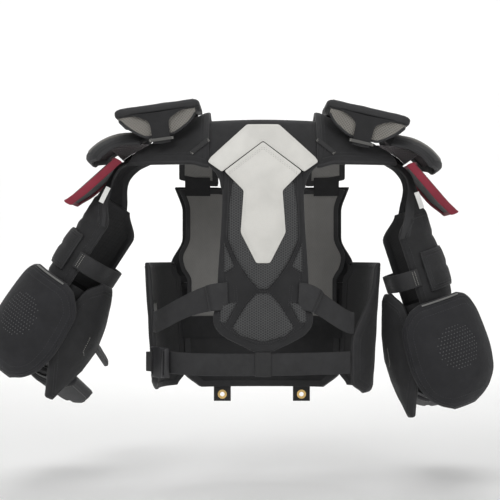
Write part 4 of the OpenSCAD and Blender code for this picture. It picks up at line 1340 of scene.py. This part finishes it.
def make_forearm(side):
    key = SIDE_NAME[side]
    body = f"forearm_{key}"

    def taper(d):
        return -8 * (d - FOREARM_TOP) / FOREARM_L

    def place(s, d, t):
        return on_forearm(side, round_limb(s / LIMB_SCALE, d, t + taper(d)))
    grid = band_grid(flat_at(-149.7), lambda d: 134 - 84 * ease((FOREARM_TOP + 40 - d) / 34),
                     FOREARM_TOP + FOREARM_L, FOREARM_TOP, 70, 44, LIMB_SCALE)
    rings = [line((-145 * LIMB_SCALE, d), (145 * LIMB_SCALE, d)) for d in (128, 190, 246)]
    pad = Pad(place, grid, FOREARM_IN + 0.2, FOREARM_OUT - 0.3, edge=5, soft=13,
              relief=grooves(rings, 1.5, 4, crumple(1.0, 30, 71)))
    sewn(f"forearm_pad_{key}", body, [f"forearm_sleeve_{key}"], pad, NYLON, DARK_LINING, width=9,
         fill=0.6, seams=[(13, THREAD)])
    grid = band_grid(lambda d: -154 + 20 * ease((d - 230) / 50), lambda d: 19.5 - 20 * ease((d - 230) / 50),
                     FOREARM_TOP + FOREARM_L - 6.5, FOREARM_TOP + 34.5, 44, 44, LIMB_SCALE)
    channels = [line((a * LIMB_SCALE, 106), (a * LIMB_SCALE, 270)) for a in (-108, -67, -26)]
    pad = Pad(place, grid, FOREARM_OUT + 0.7, FOREARM_OUT + 12.4, edge=5, soft=14,
              relief=grooves(channels, 2.6, 4))
    sewn(f"forearm_block_{key}", body, [f"forearm_guard_{key}"], pad, NYLON_BLUE, width=9,
         fill=0.85, seams=[(13, GREY_THREAD)])

    piece = Piece(f"forearm_loop_{key}")
    r, d_mid = FOREARM_OUT + 0.7, FOREARM_TOP + 17.5
    a = np.linspace(-169, 44, 70)
    path = on_forearm(side, round_limb(a, d_mid + 0 * a, r))
    across, up = frame_along(path, on_forearm(side, round_limb(a, d_mid + 0 * a, r + 5)))
    sweep(piece, WEBBING, path, across, up, tape_section(24.6, 2.0))

    # a flat two-slot slide
    def slide(x, y, z):
        return on_forearm(side, points(x, y, z) @ turn("z", -132).T + np.array([ARM_MID, 0, 0]))
    bars = [((-15, -25.5), (15, -25.5)), ((-15, -14), (15, -14)), ((-15, -2.5), (15, -2.5)),
            ((-14.5, -26), (-14.5, -2)), ((14.5, -26), (14.5, -2))]
    for (y0, z0), (y1, z1) in bars:
        row = resample(np.array([(y0, z0), (y1, z1)], float), n=6)
        z = row[:, 1] - FOREARM_TOP - 2.5
        at = slide(r + 3.4, row[:, 0], z)
        across, up = frame_along(at, slide(r + 9, row[:, 0], z))
        section = [(-1.8, -1.6), (1.8, -1.6), (2.4, -0.8), (2.4, 0.8), (1.8, 1.6), (-1.8, 1.6), (-2.4, 0.8),
                   (-2.4, -0.8)]
        sweep(piece, PLASTIC, at, across, up, section)
    piece.done(body, [f"forearm_strap_{key}"], "webbing")


# ---- loose cloth across the joints ----
def cloth_band(name, rows, material, bodies, span, nodes, seed, loose=1.6, hem=0):
    """A band of cloth through rows of points, crumpled a little and baked in place."""
    rows = np.array(rows)
    m, n = rows.shape[:2]
    out = unit(rows - rows.mean(1, keepdims=True))
    v, u = np.mgrid[0:m, 0:n]
    plan = np.stack([u * 4.0, v * 5.0], -1)
    crease = smooth_noise(plan, 19, seed) * loose * np.sin(np.pi * v / (m - 1))
    outer = rows + out * crease[..., None]
    piece = Piece(name)
    sheet(piece, outer, outer - out * 2.2, plan, material)
    for col, step in ((0, 1), (n - 1, -1)) if hem else ():
        path = outer[:, col]
        across = unit(outer[:, col + 6 * step] - path)
        up = out[:, col + 2 * step]
        up = unit(up - (up * across).sum(1, keepdims=True) * across)
        section = [(hem * 1.8, 0.2), (hem * 1.8, 1.2), (0, 1.5), (-1.6, 0.6), (-1.6, -2.4), (0, -3.2),
                   (hem, -3.2), (hem, -2.6)]
        sweep(piece, TAPE, path, across, up, section)
    start, end = (tuple(p * MM) for p in span)
    piece.done(None, nodes, "black_shell", 0.2, blend=(*bodies, start, end))


def make_shoulder_gusset(side):
    """From under the yoke's end, over the point of the shoulder, down into the sleeve."""
    key = SIDE_NAME[side]
    rows = []
    for d in np.linspace(-32, 97, 30):
        half = curve(d, [(-32, 46), (-10, 42), (8, 42), (50, 66), (97, 95)])
        r = curve(d, [(-32, 23), (-14, 43), (6, 52), (45, 53), (70, 54.6), (97, 54.8)])
        rows.append(on_arm(side, round_limb(np.linspace(-half, half, 56), d, r)))
    span = [on_arm(side, np.array([ARM_MID, 0, z])) for z in (25.0, -60.0)]
    cloth_band(f"shoulder_gusset_{key}", rows, NYLON, (f"sling_{key}", f"upper_arm_{key}"), span,
               [f"shoulder_sling_{key}"], 81, 0.9, hem=9)


def make_elbow_gusset(side):
    """From the sleeve's end, round the elbow, into the forearm."""
    key, down = SIDE_NAME[side], np.array([0, 0, -1.0])
    ring = round_limb(np.linspace(-150, 150, 76), 0, 44)
    rows = []
    for k in np.linspace(0, 1, 30):
        bend = turn("x", ELBOW_BEND * ease((k - 0.22) / 0.56))
        way = down if k < 0.5 else bend @ down
        rows.append(on_arm(side, ring @ bend.T + down * ARM_L + way * (k - 0.5) * 190))
    span = (on_arm(side, np.array([0, 0, -ARM_L + 45.0])), on_forearm(side, np.array([0, 0, -45.0])))
    cloth_band(f"elbow_gusset_{key}", rows, NYLON_SOFT, (f"upper_arm_{key}", f"forearm_{key}"), span, [],
               91, 2.4)


# ---- stage, light and camera ----
def make_stage():
    floor_z, sweep_y, rise = -0.62, 3.6, 1.6
    rows = [(-6.0, floor_z), (sweep_y, floor_z)]
    rows += [(sweep_y + rise * math.sin(a), floor_z + rise - rise * math.cos(a))
             for a in np.linspace(0.1, math.pi / 2, 14)]
    rows.append((sweep_y + rise, 5.0))
    verts = [(x, y, z) for y, z in rows for x in (-6, 6)]
    faces = [(2 * i, 2 * i + 1, 2 * i + 3, 2 * i + 2) for i in range(len(rows) - 1)]
    mesh = bpy.data.meshes.new("floor")
    mesh.from_pydata(verts, [], faces)
    mesh.shade_smooth()
    obj = bpy.data.objects.new("floor", mesh)
    bpy.context.scene.collection.objects.link(obj)
    f = Finish("pale_floor", specular_ior_level=0.2, roughness=0.9)
    f.colour(f.ramp(f.noise(900, 2), (0.3, (0.93, 0.93, 0.925)), (0.7, (0.95, 0.95, 0.945))))
    mesh.materials.append(f.done())


def area_light(name, at, aim, size, watts, colour=(1, 1, 1)):
    light = bpy.data.lights.new(name, "AREA")
    light.shape, light.size, light.energy, light.color = "DISK", size, watts, colour
    obj = bpy.data.objects.new(name, light)
    way = Vector(aim) - Vector(at)
    obj.location, obj.rotation_euler = at, way.to_track_quat("-Z", "Y").to_euler()
    bpy.context.scene.collection.objects.link(obj)


def make_light_and_camera():
    world = bpy.data.worlds.new("studio")
    world.use_nodes = True
    world.node_tree.nodes["Background"].inputs["Color"].default_value = (1, 1, 1, 1)
    world.node_tree.nodes["Background"].inputs["Strength"].default_value = 0.52
    scene = bpy.context.scene
    scene.world = world
    area_light("key", (-1.3, -2.4, 1.7), (0, 0, -0.2), 1.4, 30)
    area_light("fill", (1.6, -2.2, 0.6), (0, 0, -0.2), 1.6, 15)
    area_light("top", (0, 0.3, 2.2), (0, 0, -0.2), 1.6, 16)
    area_light("backdrop", (0, 2.6, 2.4), (0, 5.2, 0.0), 2.0, 60)
    scene.view_settings.view_transform = "Standard"
    camera = bpy.data.objects.new("camera", bpy.data.cameras.new("camera"))
    camera.location = (-0.021, -2.315, -0.212)
    camera.rotation_euler = (math.radians(90), 0, 0)
    camera.data.sensor_width = 36
    camera.data.angle = 2 * math.atan(400 / 2200)
    scene.collection.objects.link(camera)
    scene.camera = camera


make_light_and_camera()
make_stage()
make_front()
make_belly()
make_flanks()
make_yoke()
make_spine()
make_plates()
make_straps()
make_buckle()
for group in ((make_floater_board, make_floater_mesh, make_floater_tongue),
              (make_cap, make_wing, make_label),
              (make_upper_arm, make_elbow, make_forearm, make_shoulder_gusset, make_elbow_gusset)):
    for arm in (LEFT, RIGHT):
        for make in group:
            make(arm)
